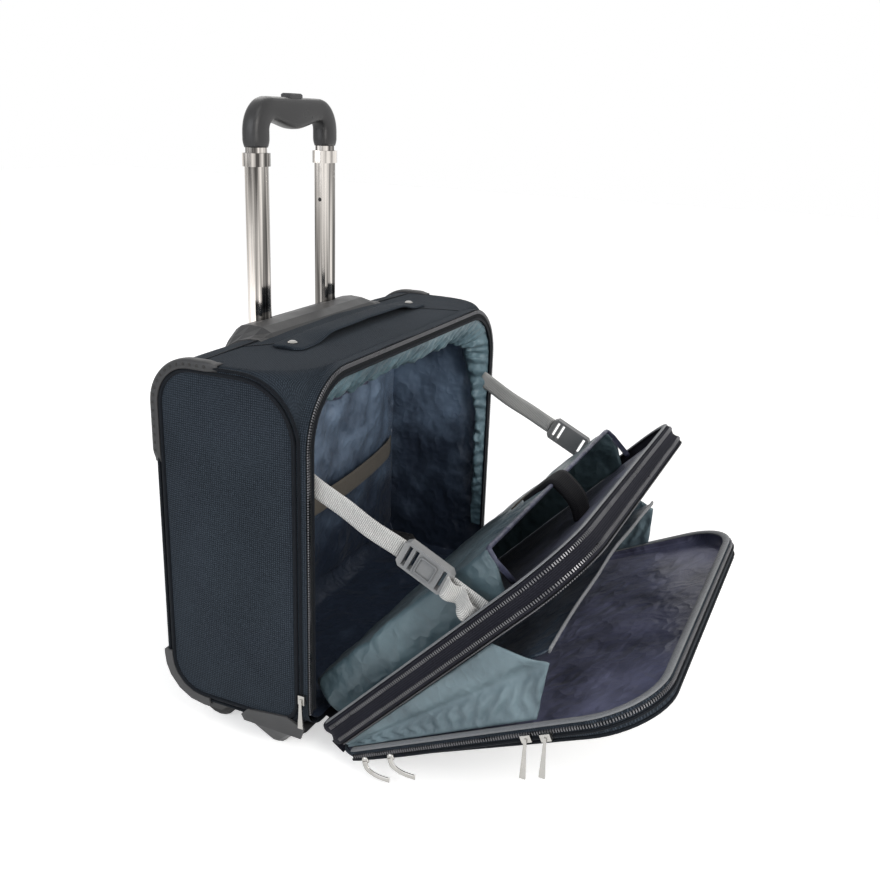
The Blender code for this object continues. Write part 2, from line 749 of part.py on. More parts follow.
for side, sign in (("left", -1), ("right", 1)):
    x = sign * tube_x
    outer, inner = walls(outer_wide, outer_deep, TUBE_CORNER + TUBE_PLAY + TUBE_WALL, TUBE_WALL)
    ring_bar(
        "outer_tube_" + side,
        outer,
        inner,
        BRACKET_Z + BRACKET_HEIGHT + GAP,
        OUTER_TUBE_TOP_Z,
        "chrome",
        x,
        TUBE_Y,
    )
    outer, inner = walls(TUBE_WIDE, TUBE_DEEP, TUBE_CORNER, TUBE_WALL)
    ring_bar("middle_tube_" + side, outer, inner, -MIDDLE_TUBE_LENGTH, 0.0, "chrome", x, 0.0, slide_one)
    ring = COLLAR_WALL + GAP
    outer, inner = walls(TUBE_WIDE + 2 * ring, TUBE_DEEP + 2 * ring, TUBE_CORNER + ring, COLLAR_WALL)
    ring_bar("tube_collar_" + side, outer, inner, -COLLAR_HEIGHT, 0.0012, "chrome", x, 0.0, slide_one)
    outer, inner = walls(inner_wide, inner_deep, TUBE_CORNER - TUBE_PLAY - TUBE_WALL, TUBE_WALL)
    ring_bar(
        "inner_tube_" + side,
        outer,
        inner,
        SOCKET_DEPTH - 0.0005 - INNER_TUBE_LENGTH,
        SOCKET_DEPTH - 0.0005,
        "chrome",
        x,
        0.0,
        slide_two,
    )
    socket_corner = TUBE_CORNER - TUBE_PLAY - TUBE_WALL
    socket_loop = round_box(inner_wide + 2 * GAP, inner_deep + 2 * GAP, socket_corner)
    socket = loft(
        "socket_" + side,
        [[(x + p[0], p[1], z) for p in socket_loop] for z in (-0.010, SOCKET_DEPTH)],
        None,
        slide_two,
        False,
        True,
    )
    cut(grip, socket)
    passage_loop = round_box(TUBE_WIDE + 2 * TUBE_PLAY, TUBE_DEEP + 2 * TUBE_PLAY, TUBE_CORNER)
    passage_rings = []
    for z in (OUTER_TUBE_TOP_Z - 0.02, TOP_Z + 0.05):
        passage_rings.append([(x + p[0], TUBE_Y + p[1], z) for p in passage_loop])
    passage = loft(
        "passage_" + side,
        passage_rings,
        None,
        helper=True,
    )
    cut(band, passage)
    cut(bezel, passage)
button_top = GRIP_BAR_Z + GRIP_BAR_THICK / 2 + BUTTON_RISE - GRIP_BASE_Z
button_low = button_top - BUTTON_RISE - 0.0055
pocket = box(
    "button_pocket",
    (-BUTTON_LENGTH / 2 - GAP, -BUTTON_WIDTH / 2 - GAP, button_low - BUTTON_TRAVEL - 0.001),
    (BUTTON_LENGTH / 2 + GAP, BUTTON_WIDTH / 2 + GAP, button_top + 0.02),
    None,
    slide_two,
    True,
)
cut(grip, pocket)
button_rings = []
for z, trim in ((button_low, 0.0), (button_top - 0.0015, 0.0), (button_top, 0.0025)):
    loop = round_box(BUTTON_LENGTH - trim, BUTTON_WIDTH - trim, 0.003)
    button_rings.append([(p[0], p[1], z) for p in loop])
loft("release_button", button_rings, "plastic", slide_two)

# Carry handle strap and its rivets.
handle_rings = []
shares = (-1.0, -0.9, -0.8, -0.72, -0.64, -0.54, -0.4, 0.0, 0.4, 0.54, 0.64, 0.72, 0.8, 0.9, 1.0)
for share in shares:
    t = min(max((0.8 - abs(share)) / 0.26, 0.0), 1.0)
    rise = STRAP_HANDLE_RISE * (3 * t * t - 2 * t**3)
    wide = STRAP_HANDLE_WIDTH * (0.7 if abs(share) == 1.0 else 1.0)
    z = TOP_Z + GAP + rise
    handle_rings.append(
        [
            (share * STRAP_HANDLE_HALF, STRAP_HANDLE_Y - wide / 2, z),
            (share * STRAP_HANDLE_HALF, STRAP_HANDLE_Y + wide / 2, z),
            (share * STRAP_HANDLE_HALF, STRAP_HANDLE_Y + wide / 2, z + STRAP_HANDLE_THICK * 0.7),
            (share * STRAP_HANDLE_HALF, STRAP_HANDLE_Y, z + STRAP_HANDLE_THICK),
            (share * STRAP_HANDLE_HALF, STRAP_HANDLE_Y - wide / 2, z + STRAP_HANDLE_THICK * 0.7),
        ]
    )
loft("carry_handle", handle_rings, "fabric")
for side, sign in (("left", -1), ("right", 1)):
    low = TOP_Z + STRAP_HANDLE_THICK + 2 * GAP
    rivet_rings = []
    for up, share in ((0.0, 1.0), (0.45, 1.0), (1.0, 0.6)):
        loop = arc(sign * RIVET_X, STRAP_HANDLE_Y, RIVET_RADIUS * share, 0, 330, 11)
        rivet_rings.append([(p[0], p[1], low + up * RIVET_HEIGHT) for p in loop])
    loft("handle_rivet_" + side, rivet_rings, "chrome")
lining_back = lining_depth - BAND_WALL - GAP - LINING_SLACK - LINING_WALL
box(
    "packing_strap",
    (-HALF + PACKING_STRAP_INSET, lining_back - GAP - STRAP_THICK, BASE_Z + PACKING_STRAP_UP),
    (HALF - PACKING_STRAP_INSET, lining_back - GAP, BASE_Z + PACKING_STRAP_UP + PACKING_STRAP_WIDTH),
    "webbing",
)

# Middle panel on its hinge at the foot of the rim.
mid = empty("mid_hinge", (0.0, 0.0, HINGE_Z), frame_empty, MID_OPEN)
panel_half = HALF - PANEL_INSET
panel_top = TOP_Z - HINGE_Z - PANEL_DROP
pocket_half = panel_half - POCKET_INSET
pocket_high = panel_top - POCKET_DROP
mid_front = -RIM_SEAT - MID_THICK


def panel_loop(inset, low=PANEL_LOW, high=panel_top):
    return outline(
        panel_half - inset,
        low + inset,
        high - inset,
        PANEL_TOP_RADIUS - inset,
        PANEL_BOTTOM_RADIUS - inset,
    )


def frame_rings(inset, wall, y0, y1):
    outer = panel_loop(inset)
    inner = panel_loop(inset + wall)
    return [
        [(x, y0, z) for x, z in outer],
        [(x, y1, z) for x, z in outer],
        [(x, y1, z) for x, z in inner],
        [(x, y0, z) for x, z in inner],
    ]


loft("mid_frame", frame_rings(0.0, MID_WALL, mid_front, -RIM_SEAT), "fabric", mid, True)
board_loop = panel_loop(MID_WALL + GAP)
board_front = -MID_BOARD_REAR - MID_BOARD_WALL
loft(
    "mid_board",
    [[(x, y, z) for x, z in board_loop] for y in (board_front, -MID_BOARD_REAR)],
    "lining",
    mid,
)
edge_strip(
    "mid_binding",
    panel_half,
    PANEL_LOW,
    panel_top,
    PANEL_TOP_RADIUS,
    PANEL_BOTTOM_RADIUS,
    BINDING_WIDTH,
    -RIM_SEAT + GAP,
    -RIM_SEAT + GAP + BINDING_THICK,
    "binding",
    mid,
)
pocket_front = -MID_BOARD_REAR + GAP
laptop_pocket = box(
    "laptop_pocket",
    (-pocket_half, pocket_front, POCKET_LOW),
    (pocket_half, POCKET_DEPTH, pocket_high),
    "lining",
    mid,
)
pocket_room = box(
    "pocket_room",
    (-pocket_half + POCKET_SIDE_WALL, pocket_front - 0.02, POCKET_LOW + POCKET_SIDE_WALL),
    (pocket_half - POCKET_SIDE_WALL, POCKET_DEPTH - POCKET_REAR_WALL, pocket_high + 0.05),
    None,
    mid,
    True,
)
cut(laptop_pocket, pocket_room)
strap_top = pocket_high + GAP
strap_rear = POCKET_DEPTH + GAP
laptop_strap = [
    (pocket_front, strap_top),
    (strap_rear, strap_top),
    (strap_rear, pocket_high - LAPTOP_STRAP_TAIL),
    (strap_rear + LAPTOP_STRAP_THICK, pocket_high - LAPTOP_STRAP_TAIL),
    (strap_rear + LAPTOP_STRAP_THICK, strap_top + LAPTOP_STRAP_THICK),
    (pocket_front, strap_top + LAPTOP_STRAP_THICK),
]
plate_x("laptop_strap", laptop_strap, -LAPTOP_STRAP_HALF, LAPTOP_STRAP_HALF, "black", mid)

# Front flap, hinged on the middle panel's front edge.
flap = empty("flap_hinge", (0.0, mid_front - FLAP_SEAT, FLAP_HINGE_UP), mid, FLAP_OPEN)
flap_low = PANEL_LOW - FLAP_HINGE_UP + FLAP_TOE
flap_top = panel_top - FLAP_HINGE_UP - FLAP_DROP
flap_rim = -FLAP_RIM


def flap_depth(z):
    return FLAP_THICK_LOW + (FLAP_THICK_HIGH - FLAP_THICK_LOW) * (z - flap_low) / (flap_top - flap_low)


def flap_loop(inset, depth=None, less=0.0):
    points = panel_loop(inset, flap_low, flap_top)
    if depth is not None:
        return [(x, depth, z) for x, z in points]
    return [(x, -flap_depth(z) + less, z) for x, z in points]


flap_rings = [
    flap_loop(0.006),
    flap_loop(0.0015, None, 0.003),
    flap_loop(0.0, None, 0.006),
    flap_loop(0.0, flap_rim),
    flap_loop(FLAP_WALL, flap_rim),
    flap_loop(FLAP_WALL, None, 0.0062),
    flap_loop(FLAP_WALL + 0.003, None, FLAP_WALL),
]
loft("flap_tray", flap_rings, "fabric", flap)
edge_strip(
    "flap_binding",
    panel_half,
    flap_low,
    flap_top,
    PANEL_TOP_RADIUS,
    PANEL_BOTTOM_RADIUS,
    BINDING_WIDTH,
    flap_rim + GAP,
    flap_rim + GAP + BINDING_THICK,
    "binding",
    flap,
)
pocket_rings = []
front_half = panel_half - FLAP_POCKET_INSET
front_top = flap_top - FLAP_POCKET_DROP
for inset, out in ((0.0, GAP), (0.0005, FLAP_POCKET_THICK * 0.6), (0.003, FLAP_POCKET_THICK)):
    loop = outline(
        front_half - inset,
        FLAP_POCKET_LOW + inset,
        front_top - inset,
        FLAP_POCKET_TOP_RADIUS,
        FLAP_POCKET_LOW_RADIUS,
    )
    pocket_rings.append([(x, -flap_depth(z) - out, z) for x, z in loop])
loft("flap_pocket", pocket_rings, "fabric", flap)

# Divider and side gussets of the file section.
divider_hinge = empty("divider_hinge", (0.0, -DIVIDER_Y, DIVIDER_UP), mid, FLAP_OPEN / 2)
divider_half = panel_half - DIVIDER_INSET
divider_length = panel_top - DIVIDER_DROP
divider_loop = outline(
    divider_half, DIVIDER_FOOT, divider_length, DIVIDER_TOP_RADIUS, DIVIDER_LOW_RADIUS, 3, 2
)
loft(
    "divider",
    [[(x, y, z) for x, z in divider_loop] for y in (-DIVIDER_WALL / 2, DIVIDER_WALL / 2)],
    "lining",
    divider_hinge,
)


def in_mid(place, turn, y, z):
    """A point of a pivot's own frame, in the middle panel's frame, as (y, z)."""
    c = math.cos(turn)
    s = math.sin(turn)
    return (place[0] + c * y - s * z, place[1] + s * y + c * z)


flap_place = (mid_front - FLAP_SEAT, FLAP_HINGE_UP)
divider_place = (-DIVIDER_Y, DIVIDER_UP)
gusset_clear = flap_rim + GAP + BINDING_THICK + GAP
gusset = [
    (mid_front - FLAP_SEAT / 2, GUSSET_LOW),
    (mid_front - FLAP_SEAT / 2, GUSSET_REACH),
    in_mid(divider_place, FLAP_OPEN / 2, 0.0, divider_length),
    in_mid(flap_place, FLAP_OPEN, gusset_clear, GUSSET_REACH),
    in_mid(flap_place, FLAP_OPEN, gusset_clear, GUSSET_LOW),
]
gusset_x = panel_half - BINDING_WIDTH - GUSSET_CLEAR
for side, sign in (("left", -1), ("right", 1)):
    edge = sign * (gusset_x - GUSSET_WALL / 2)
    plate_x(side + "_gusset", gusset, edge, edge + sign * GUSSET_WALL, "lining", mid)

# Check straps from the rim to the middle panel.
mid_place = (0.0, HINGE_Z)
anchor = Vector((STRAP_ANCHOR_Y, STRAP_ANCHOR_Z))
landing = Vector(in_mid(mid_place, MID_OPEN, -RIM_SEAT - STRAP_SEAT, panel_top - STRAP_PANEL_DROP))
along = (landing - anchor).normalized()
across = Vector((-along.y, along.x))
span = (landing - anchor).length
buckle_start = span * BUCKLE_AT - BUCKLE_LENGTH / 2
buckle_end = buckle_start + BUCKLE_LENGTH


def band_points(start, end, width, chamfer=0.0):
    shape = []
    for a, b in (
        (start + chamfer, -width / 2),
        (end - chamfer, -width / 2),
        (end, -width / 2 + chamfer),
        (end, width / 2 - chamfer),
        (end - chamfer, width / 2),
        (start + chamfer, width / 2),
        (start, width / 2 - chamfer),
        (start, -width / 2 + chamfer),
    ):
        p = anchor + along * a + across * b
        shape.append((p.x, p.y))
    return shape if chamfer else [shape[0], shape[1], shape[4], shape[5]]


for side, sign in (("left", -1), ("right", 1)):
    x0 = sign * (STRAP_X - STRAP_THICK / 2)
    x1 = sign * (STRAP_X + STRAP_THICK / 2)
    plate_x(side + "_strap_upper", band_points(0.0, buckle_start - GAP, STRAP_WIDTH), x0, x1, "webbing")
    plate_x(side + "_strap_lower", band_points(buckle_end + GAP, span, STRAP_WIDTH), x0, x1, "webbing")
    buckle_low = sign * (STRAP_X - BUCKLE_THICK * (1 - BUCKLE_OUTER_SHARE))
    buckle = plate_x(
        side + "_buckle",
        band_points(buckle_start, buckle_end, BUCKLE_WIDTH, BUCKLE_CHAMFER),
        buckle_low,
        buckle_low + sign * BUCKLE_THICK,
        "plastic",
    )
    for k, place in enumerate((0.14, 0.28, 0.86)):
        middle = buckle_start + BUCKLE_LENGTH * place
        slot = plate_x(
            "slot_%s_%d" % (side, k),
            band_points(middle - BUCKLE_SLOT / 2, middle + BUCKLE_SLOT / 2, BUCKLE_WIDTH - 2 * BUCKLE_RAIL),
            sign * (STRAP_X - 0.03),
            sign * (STRAP_X + 0.03),
            None,
            helper=True,
        )
        cut(buckle, slot)

# Zip sliders and their pulls.
slider_z = BASE_Z + RIM_SLIDER_UP
slider_x = -HALF - SLIDER_STANDOFF - SLIDER_THICK
box(
    "zip_slider_body",
    (slider_x, RIM_SLIDER_Y, slider_z),
    (-HALF - SLIDER_STANDOFF, RIM_SLIDER_Y + SLIDER_WIDTH, slider_z + SLIDER_LENGTH),
    "chrome",
)


def pull_shape(length):
    """Tapered tab in (y, z) that hangs from its hinge."""
    w = PULL_WIDTH / 2
    half = [(w * 0.6, PULL_HEAD), (w, -length * 0.5), (w * 1.5, -length)]
    return [(-y, z) for y, z in half] + half[::-1]


pull_place = (slider_x - GAP - PULL_THICK / 2, RIM_SLIDER_Y + SLIDER_WIDTH / 2, slider_z + RIM_PULL_AT)
body_pull = empty("pull_hinge_body", pull_place, frame_empty)
rim_pull = pull_shape(PULL_LENGTH * RIM_PULL_SHARE)
plate_x("zip_pull_body", rim_pull, -PULL_THICK / 2, PULL_THICK / 2, "chrome", body_pull)
for step, name in enumerate(("low", "high")):
    up = FLAP_SLIDER_UP + step * FLAP_SLIDER_STEP
    depth = flap_depth(up) / 2
    side_x = -panel_half - GAP - SLIDER_THICK - step * (PULL_THICK + GAP)
    box(
        "zip_slider_" + name,
        (side_x, -depth - SLIDER_WIDTH / 2, up - SLIDER_LENGTH / 2),
        (-panel_half - GAP, -depth + SLIDER_WIDTH / 2, up + SLIDER_LENGTH / 2),
        "chrome",
        flap,
    )
    place = (side_x - GAP - PULL_THICK / 2, -depth, up)
    hang = empty("pull_hinge_" + name, place, flap, -MID_OPEN - FLAP_OPEN)
    plate_x("zip_pull_" + name, pull_shape(PULL_LENGTH), -PULL_THICK / 2, PULL_THICK / 2, "chrome", hang)

# Stand the case with the middle of its footprint on the origin.
bpy.context.view_layer.update()
graph = bpy.context.evaluated_depsgraph_get()
low_x, high_x, low_y, high_y = 9.0, -9.0, 9.0, -9.0
for item in bpy.context.scene.objects:
    if item.type != "MESH" or item.hide_render:
        continue
    ready = item.evaluated_get(graph)
    for vertex in ready.data.vertices:
        p = ready.matrix_world @ vertex.co
        low_x, high_x = min(low_x, p.x), max(high_x, p.x)
        low_y, high_y = min(low_y, p.y), max(high_y, p.y)
frame_empty.location = (-(low_x + high_x) / 2, -(low_y + high_y) / 2, 0.0)
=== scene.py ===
# Looks of the rolling flight case: cloth, webbing, zips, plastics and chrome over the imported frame.
import json
import math

import bpy
from mathutils import Matrix, Vector, noise


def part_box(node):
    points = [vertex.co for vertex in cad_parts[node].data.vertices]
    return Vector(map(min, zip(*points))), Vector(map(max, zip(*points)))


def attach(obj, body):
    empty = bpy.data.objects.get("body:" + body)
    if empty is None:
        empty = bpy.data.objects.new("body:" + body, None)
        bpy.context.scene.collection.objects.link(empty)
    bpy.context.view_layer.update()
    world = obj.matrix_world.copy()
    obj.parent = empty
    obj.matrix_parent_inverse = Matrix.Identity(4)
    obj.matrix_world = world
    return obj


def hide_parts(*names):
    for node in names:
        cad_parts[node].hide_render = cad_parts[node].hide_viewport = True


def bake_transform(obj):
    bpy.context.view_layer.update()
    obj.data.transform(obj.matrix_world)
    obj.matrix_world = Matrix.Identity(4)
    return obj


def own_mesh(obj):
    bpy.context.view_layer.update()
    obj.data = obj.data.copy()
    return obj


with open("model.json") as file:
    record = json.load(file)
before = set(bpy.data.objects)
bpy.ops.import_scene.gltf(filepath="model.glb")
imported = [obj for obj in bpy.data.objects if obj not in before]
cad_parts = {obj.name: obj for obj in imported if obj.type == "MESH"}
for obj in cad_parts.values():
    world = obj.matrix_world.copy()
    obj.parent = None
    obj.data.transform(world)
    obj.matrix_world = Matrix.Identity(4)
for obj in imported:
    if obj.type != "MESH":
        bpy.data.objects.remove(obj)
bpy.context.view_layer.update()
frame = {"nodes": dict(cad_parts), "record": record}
nodes = frame["nodes"]

# Sizes of the solids that the cloth follows, in metres.
band_low, band_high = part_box("body_band")
OFFSET = Vector(((band_low.x + band_high.x) / 2, band_low.y, 0.0))
HALF = (band_high.x - band_low.x) / 2
DEPTH = band_high.y - band_low.y
BASE_Z = band_low.z
TOP_Z = band_high.z
RIM_TOP_RADIUS = 0.070
RIM_LOW_RADIUS = 0.028
SIDE_CORNER = 0.060
RIM_STRIP = 0.010
BACK_RADIUS = 0.045
EDGE_RADIUS = 0.005
SEAM_INSET = 0.008
MID_OPEN = math.radians(43.5)
FLAP_OPEN = math.radians(21.0)
HINGE_Z = BASE_Z + 0.002
PANEL_HALF = HALF - 0.004
PANEL_LOW = 0.002
PANEL_TOP = TOP_Z - HINGE_Z - 0.010
PANEL_TOP_RADIUS = 0.066
PANEL_LOW_RADIUS = 0.026
MID_REAR = -0.004
MID_FACE = -0.0290
FLAP_PLACE = (-0.0325, 0.006)
FLAP_LOW = 0.0
FLAP_TOP = PANEL_TOP - 0.014
FLAP_THIN = 0.010
FLAP_THICK = 0.021
DIVIDER_PLACE = (-0.024, 0.014)
TUBE_Y = 0.155
SIDES = (("left", -1), ("right", 1))
X_WAY, Y_WAY, Z_WAY = Vector((1, 0, 0)), Vector((0, 1, 0)), Vector((0, 0, 1))


def turned(y, z, angle):
    c, s = math.cos(angle), math.sin(angle)
    return c * y - s * z, s * y + c * z


def at(x, y, z):
    return Vector((x, y, z)) + OFFSET


def in_mid(x, y, z):
    """A point of the middle panel's own frame: y is its depth and z runs up it."""
    y, z = turned(y, z, MID_OPEN)
    return at(x, y, HINGE_Z + z)


def in_flap(x, y, z):
    y, z = turned(y, z, FLAP_OPEN)
    return in_mid(x, FLAP_PLACE[0] + y, FLAP_PLACE[1] + z)


def in_divider(x, y, z):
    y, z = turned(y, z, FLAP_OPEN / 2)
    return in_mid(x, DIVIDER_PLACE[0] + y, DIVIDER_PLACE[1] + z)


MID_OUT = (in_mid(0, 1, 0) - in_mid(0, 0, 0)).normalized()
MID_WAY = (in_mid(0, 0, 1) - in_mid(0, 0, 0)).normalized()
FLAP_WAY = (in_flap(0, 0, 1) - in_flap(0, 0, 0)).normalized()


def ease(t):
    t = min(max(t, 0.0), 1.0)
    return t * t * (3 - 2 * t)


def mix(a, b, t):
    return a + (b - a) * t


def rough(p, size, seed=0.0):
    """Smooth noise from -1 to 1 at a point, with waves of about this size in metres."""
    return noise.noise(Vector(p) / size + Vector((seed, seed * 1.7, seed * 0.3)))


# Materials. Cloth reads its own UV map, which is in metres.
def shader(name, color, roughness, extras):
    made = bpy.data.materials.new(name)
    made.use_nodes = True
    surface = made.node_tree.nodes["Principled BSDF"]
    surface.inputs["Base Color"].default_value = (*color, 1.0)
    surface.inputs["Roughness"].default_value = roughness
    for key, value in extras.items():
        surface.inputs[key].default_value = value
    return made, made.node_tree, surface


def put(tree, socket, value):
    """Links an output to a socket, or sets the socket to a constant."""
    if isinstance(value, bpy.types.NodeSocket):
        tree.links.new(value, socket)
    else:
        socket.default_value = value


def node(tree, kind, settings=None, **inputs):
    made = tree.nodes.new(kind)
    for key, value in (settings or {}).items():
        setattr(made, key, value)
    for key, value in inputs.items():
        put(tree, made.inputs[key], value)
    return made


def math_node(tree, operation, a, b=0.0):
    made = node(tree, "ShaderNodeMath", {"operation": operation})
    put(tree, made.inputs[0], a)
    put(tree, made.inputs[1], b)
    return made.outputs[0]


def times(tree, a, b):
    return math_node(tree, "MULTIPLY", a, b)


def plus(tree, a, b):
    return math_node(tree, "ADD", a, b)


def grey(value):
    return (value, value, value)


def scaled(color, share):
    return tuple(c * share for c in color)


def ramp(tree, source, *stops):
    made = node(tree, "ShaderNodeValToRGB", Fac=source)
    bands = made.color_ramp.elements
    bands[0].position, bands[1].position = stops[0][0], stops[-1][0]
    bands[0].color, bands[1].color = (*stops[0][1], 1.0), (*stops[-1][1], 1.0)
    for place, color in stops[1:-1]:
        bands.new(place).color = (*color, 1.0)
    return made.outputs["Color"]


def wave(tree, vector, direction, pitch, distortion):
    settings = {"wave_type": "BANDS", "bands_direction": direction}
    inputs = {"Vector": vector, "Scale": math.pi / 10 / pitch, "Distortion": distortion, "Detail": 1.0}
    return node(tree, "ShaderNodeTexWave", settings, **inputs).outputs["Fac"]


def noise_node(tree, vector, scale, detail=3.0):
    return node(tree, "ShaderNodeTexNoise", Vector=vector, Scale=scale, Detail=detail).outputs["Fac"]


def bump(tree, surface, height, strength, distance):
    made = node(tree, "ShaderNodeBump", Height=height, Strength=strength, Distance=distance)
    tree.links.new(made.outputs["Normal"], surface.inputs["Normal"])


def cloth(name, dark, light, pitch, roughness, strength, sheen, ribs=False):
    """Woven cloth: two crossing threads, or one run of ribs for webbing and tape."""
    extras = {"Sheen Weight": sheen, "Specular IOR Level": 0.06}
    made, tree, surface = shader(name, light, roughness, extras)
    where = node(tree, "ShaderNodeTexCoord").outputs
    thread = wave(tree, where["UV"], "Y", pitch, 0.6)
    if not ribs:
        thread = times(tree, wave(tree, where["UV"], "X", pitch, 0.6), thread)
    cloudy = noise_node(tree, where["Object"], 16.0)
    fuzz = times(tree, noise_node(tree, where["Object"], 420.0, 2.0), 0.35)
    tone = plus(tree, plus(tree, times(tree, thread, 0.7), fuzz), times(tree, cloudy, 0.25))
    put(tree, surface.inputs["Base Color"], ramp(tree, tone, (0.18, dark), (0.85, light)))
    bump(tree, surface, plus(tree, thread, fuzz), strength, 0.0006)
    return made


def satin(name, dark, light, shade=None):
    """Thin lining cloth: fine threads, soft creases and a sheen; shade, when given, is painted shade: the
    colour is darker towards the bottom, fading out between two heights.
    """
    extras = {"Sheen Weight": 0.06, "Sheen Roughness": 0.4, "Specular IOR Level": 0.42}
    made, tree, surface = shader(name, light, 0.36, extras)
    where = node(tree, "ShaderNodeTexCoord").outputs
    fine = wave(tree, where["UV"], "X", 0.0009, 0.4)
    cloudy = noise_node(tree, where["Object"], 19.0, 4.0)
    folds = noise_node(tree, where["Object"], 31.0, 2.0)
    ridge = math_node(tree, "ABSOLUTE", plus(tree, folds, -0.5))
    crease = plus(tree, cloudy, times(tree, ridge, -2.2))
    tone = plus(tree, times(tree, fine, 0.10), times(tree, cloudy, 0.85))
    if shade:
        # Painted shade: the colour is scaled down to 0.42 below the lower height and rises to full above the
        # upper one.
        up = node(tree, "ShaderNodeSeparateXYZ", Vector=where["Object"]).outputs["Z"]
        painted_shade_limits = {"From Min": shade[0], "From Max": shade[1], "To Min": 0.42, "To Max": 1.0}
        tone = times(tree, tone, node(tree, "ShaderNodeMapRange", Value=up, **painted_shade_limits).outputs[0])
    put(tree, surface.inputs["Base Color"], ramp(tree, tone, (0.25, dark), (0.75, light)))
    bump(tree, surface, plus(tree, times(tree, fine, 0.02), crease), 0.65, 0.0060)
    return made


def plastic(name, color, worn, roughness, grain=900.0, strength=0.2):
    """Moulded plastic: fine grain, and paler rubbed edges."""
    made, tree, surface = shader(name, color, roughness, {"Specular IOR Level": 0.3})
    where = node(tree, "ShaderNodeTexCoord").outputs["Object"]
    shape = node(tree, "ShaderNodeNewGeometry").outputs["Pointiness"]
    speck = noise_node(tree, where, grain, 2.0)
    cloudy = noise_node(tree, where, 30.0)
    edge = ramp(tree, shape, (0.5, grey(0.0)), (0.62, grey(1.0)))
    wear = times(tree, edge, plus(tree, cloudy, 0.1))
    wear = plus(tree, times(tree, wear, 0.7), times(tree, speck, 0.25))
    rubbed = ramp(tree, cloudy, (0.3, grey(roughness - 0.08)), (0.7, grey(roughness + 0.1)))
    put(tree, surface.inputs["Base Color"], ramp(tree, wear, (0.0, color), (1.0, worn)))
    put(tree, surface.inputs["Roughness"], rubbed)
    bump(tree, surface, speck, strength, 0.0003)
    return made


def metal(name, color, roughness, painted_reflection_streaks=False):
    """Polished metal; the last argument paints dark and light lines along its length into its colour: painted
    reflections.
    """
    made, tree, surface = shader(name, color, roughness, {"Metallic": 1.0})
    where = node(tree, "ShaderNodeTexCoord").outputs["Object"]
    cloudy = noise_node(tree, where, 45.0, 4.0)
    rubbed = ramp(tree, cloudy, (0.35, grey(roughness * 0.7)), (0.7, grey(roughness * 1.6)))
    tone = ramp(tree, cloudy, (0.3, scaled(color, 0.82)), (0.65, color))
    if painted_reflection_streaks:
        # Painted reflections: noise stretched along the height gives dark and light bands, from 0.12 to 1.3
        # times the colour.
        reflection_stretch = node(tree, "ShaderNodeMapping", Vector=where, Scale=(1.0, 1.0, 0.02)).outputs["Vector"]
        lines = noise_node(tree, reflection_stretch, 150.0, 2.0)
        shades = [(place, scaled(color, share)) for place, share in ((0.38, 0.12), (0.50, 0.62), (0.62, 1.3))]
        tone = ramp(tree, lines, *shades)
    put(tree, surface.inputs["Base Color"], tone)
    put(tree, surface.inputs["Roughness"], rubbed)
    return made


OUTER = cloth("outer_weave", (0.0082, 0.0112, 0.0155), (0.043, 0.056, 0.073), 0.0022, 0.78, 0.7, 0.03)
EDGE_CLOTH = cloth("edge_weave", (0.006, 0.006, 0.009), (0.028, 0.029, 0.040), 0.0020, 0.82, 0.5, 0.03)
LINING = satin("lining_satin", (0.034, 0.058, 0.072), (0.115, 0.175, 0.200))
# Painted light: a lighter copy of the lining satin for the gathered rim, which hangs in shade.
GATHER_PAINTED_LIGHT = satin("lining_gather_painted_light", (0.070, 0.120, 0.150), (0.200, 0.310, 0.360))
# Painted light: a lighter copy of the lining satin for the gussets, standing in for the light that falls on
# them.
GUSSET_PAINTED_LIGHT = satin("lining_gusset_painted_light", (0.070, 0.105, 0.125), (0.200, 0.280, 0.315))
# Painted light and shade: a copy of the lining satin recoloured for the dim inside of the case, with painted
# shade darkening it towards the bottom.
SHADED_CASE_LINING = satin("lining_case_painted_shade", (0.022, 0.032, 0.055), (0.250, 0.350, 0.500), (0.08, 0.27))
DIVIDER_CLOTH = satin("lining_divider", (0.018, 0.028, 0.042), (0.085, 0.125, 0.170))
DARK_LINING = satin("lining_dark", (0.014, 0.016, 0.031), (0.110, 0.117, 0.190))
# Painted light: a lighter copy of the dark lining for the inside of the flap, making up for the shading
# there.
FLAP_LINING_PAINTED_LIGHT = satin("lining_flap_painted_light", (0.030, 0.032, 0.058), (0.235, 0.245, 0.385))
WEBBING = cloth("webbing_grey", (0.24, 0.24, 0.235), (0.60, 0.60, 0.59), 0.0018, 0.8, 0.6, 0.1, True)
BROWN_WEB = cloth("webbing_taupe", (0.060, 0.054, 0.046), (0.15, 0.135, 0.115), 0.002, 0.8, 0.5, 0.1, True)
BLACK_WEB = cloth("webbing_black", (0.003, 0.003, 0.004), (0.012, 0.012, 0.014), 0.002, 0.7, 0.5, 0.03, True)
TAPE = cloth("zip_tape", (0.004, 0.005, 0.006), (0.016, 0.018, 0.021), 0.0014, 0.8, 0.4, 0.03)
BINDING = cloth("edge_binding", (0.10, 0.106, 0.116), (0.25, 0.26, 0.275), 0.0016, 0.55, 0.35, 0.2, True)
CORD = cloth("piping_cord", (0.003, 0.004, 0.006), (0.014, 0.017, 0.022), 0.0016, 0.6, 0.35, 0.03)
GREY_PLASTIC = plastic("grey_plastic", (0.016, 0.017, 0.019), (0.080, 0.080, 0.082), 0.44)
BLACK_PLASTIC = plastic("black_plastic", (0.017, 0.017, 0.018), (0.080, 0.080, 0.082), 0.34)
RUBBER = plastic("tyre_rubber", (0.016, 0.016, 0.017), (0.060, 0.060, 0.060), 0.72, 300.0, 0.5)
STUD = plastic("stud_rubber", (0.012, 0.012, 0.012), (0.050, 0.050, 0.050), 0.6)
BUCKLE_PLASTIC = plastic("buckle_plastic", (0.125, 0.132, 0.140), (0.33, 0.33, 0.33), 0.42)
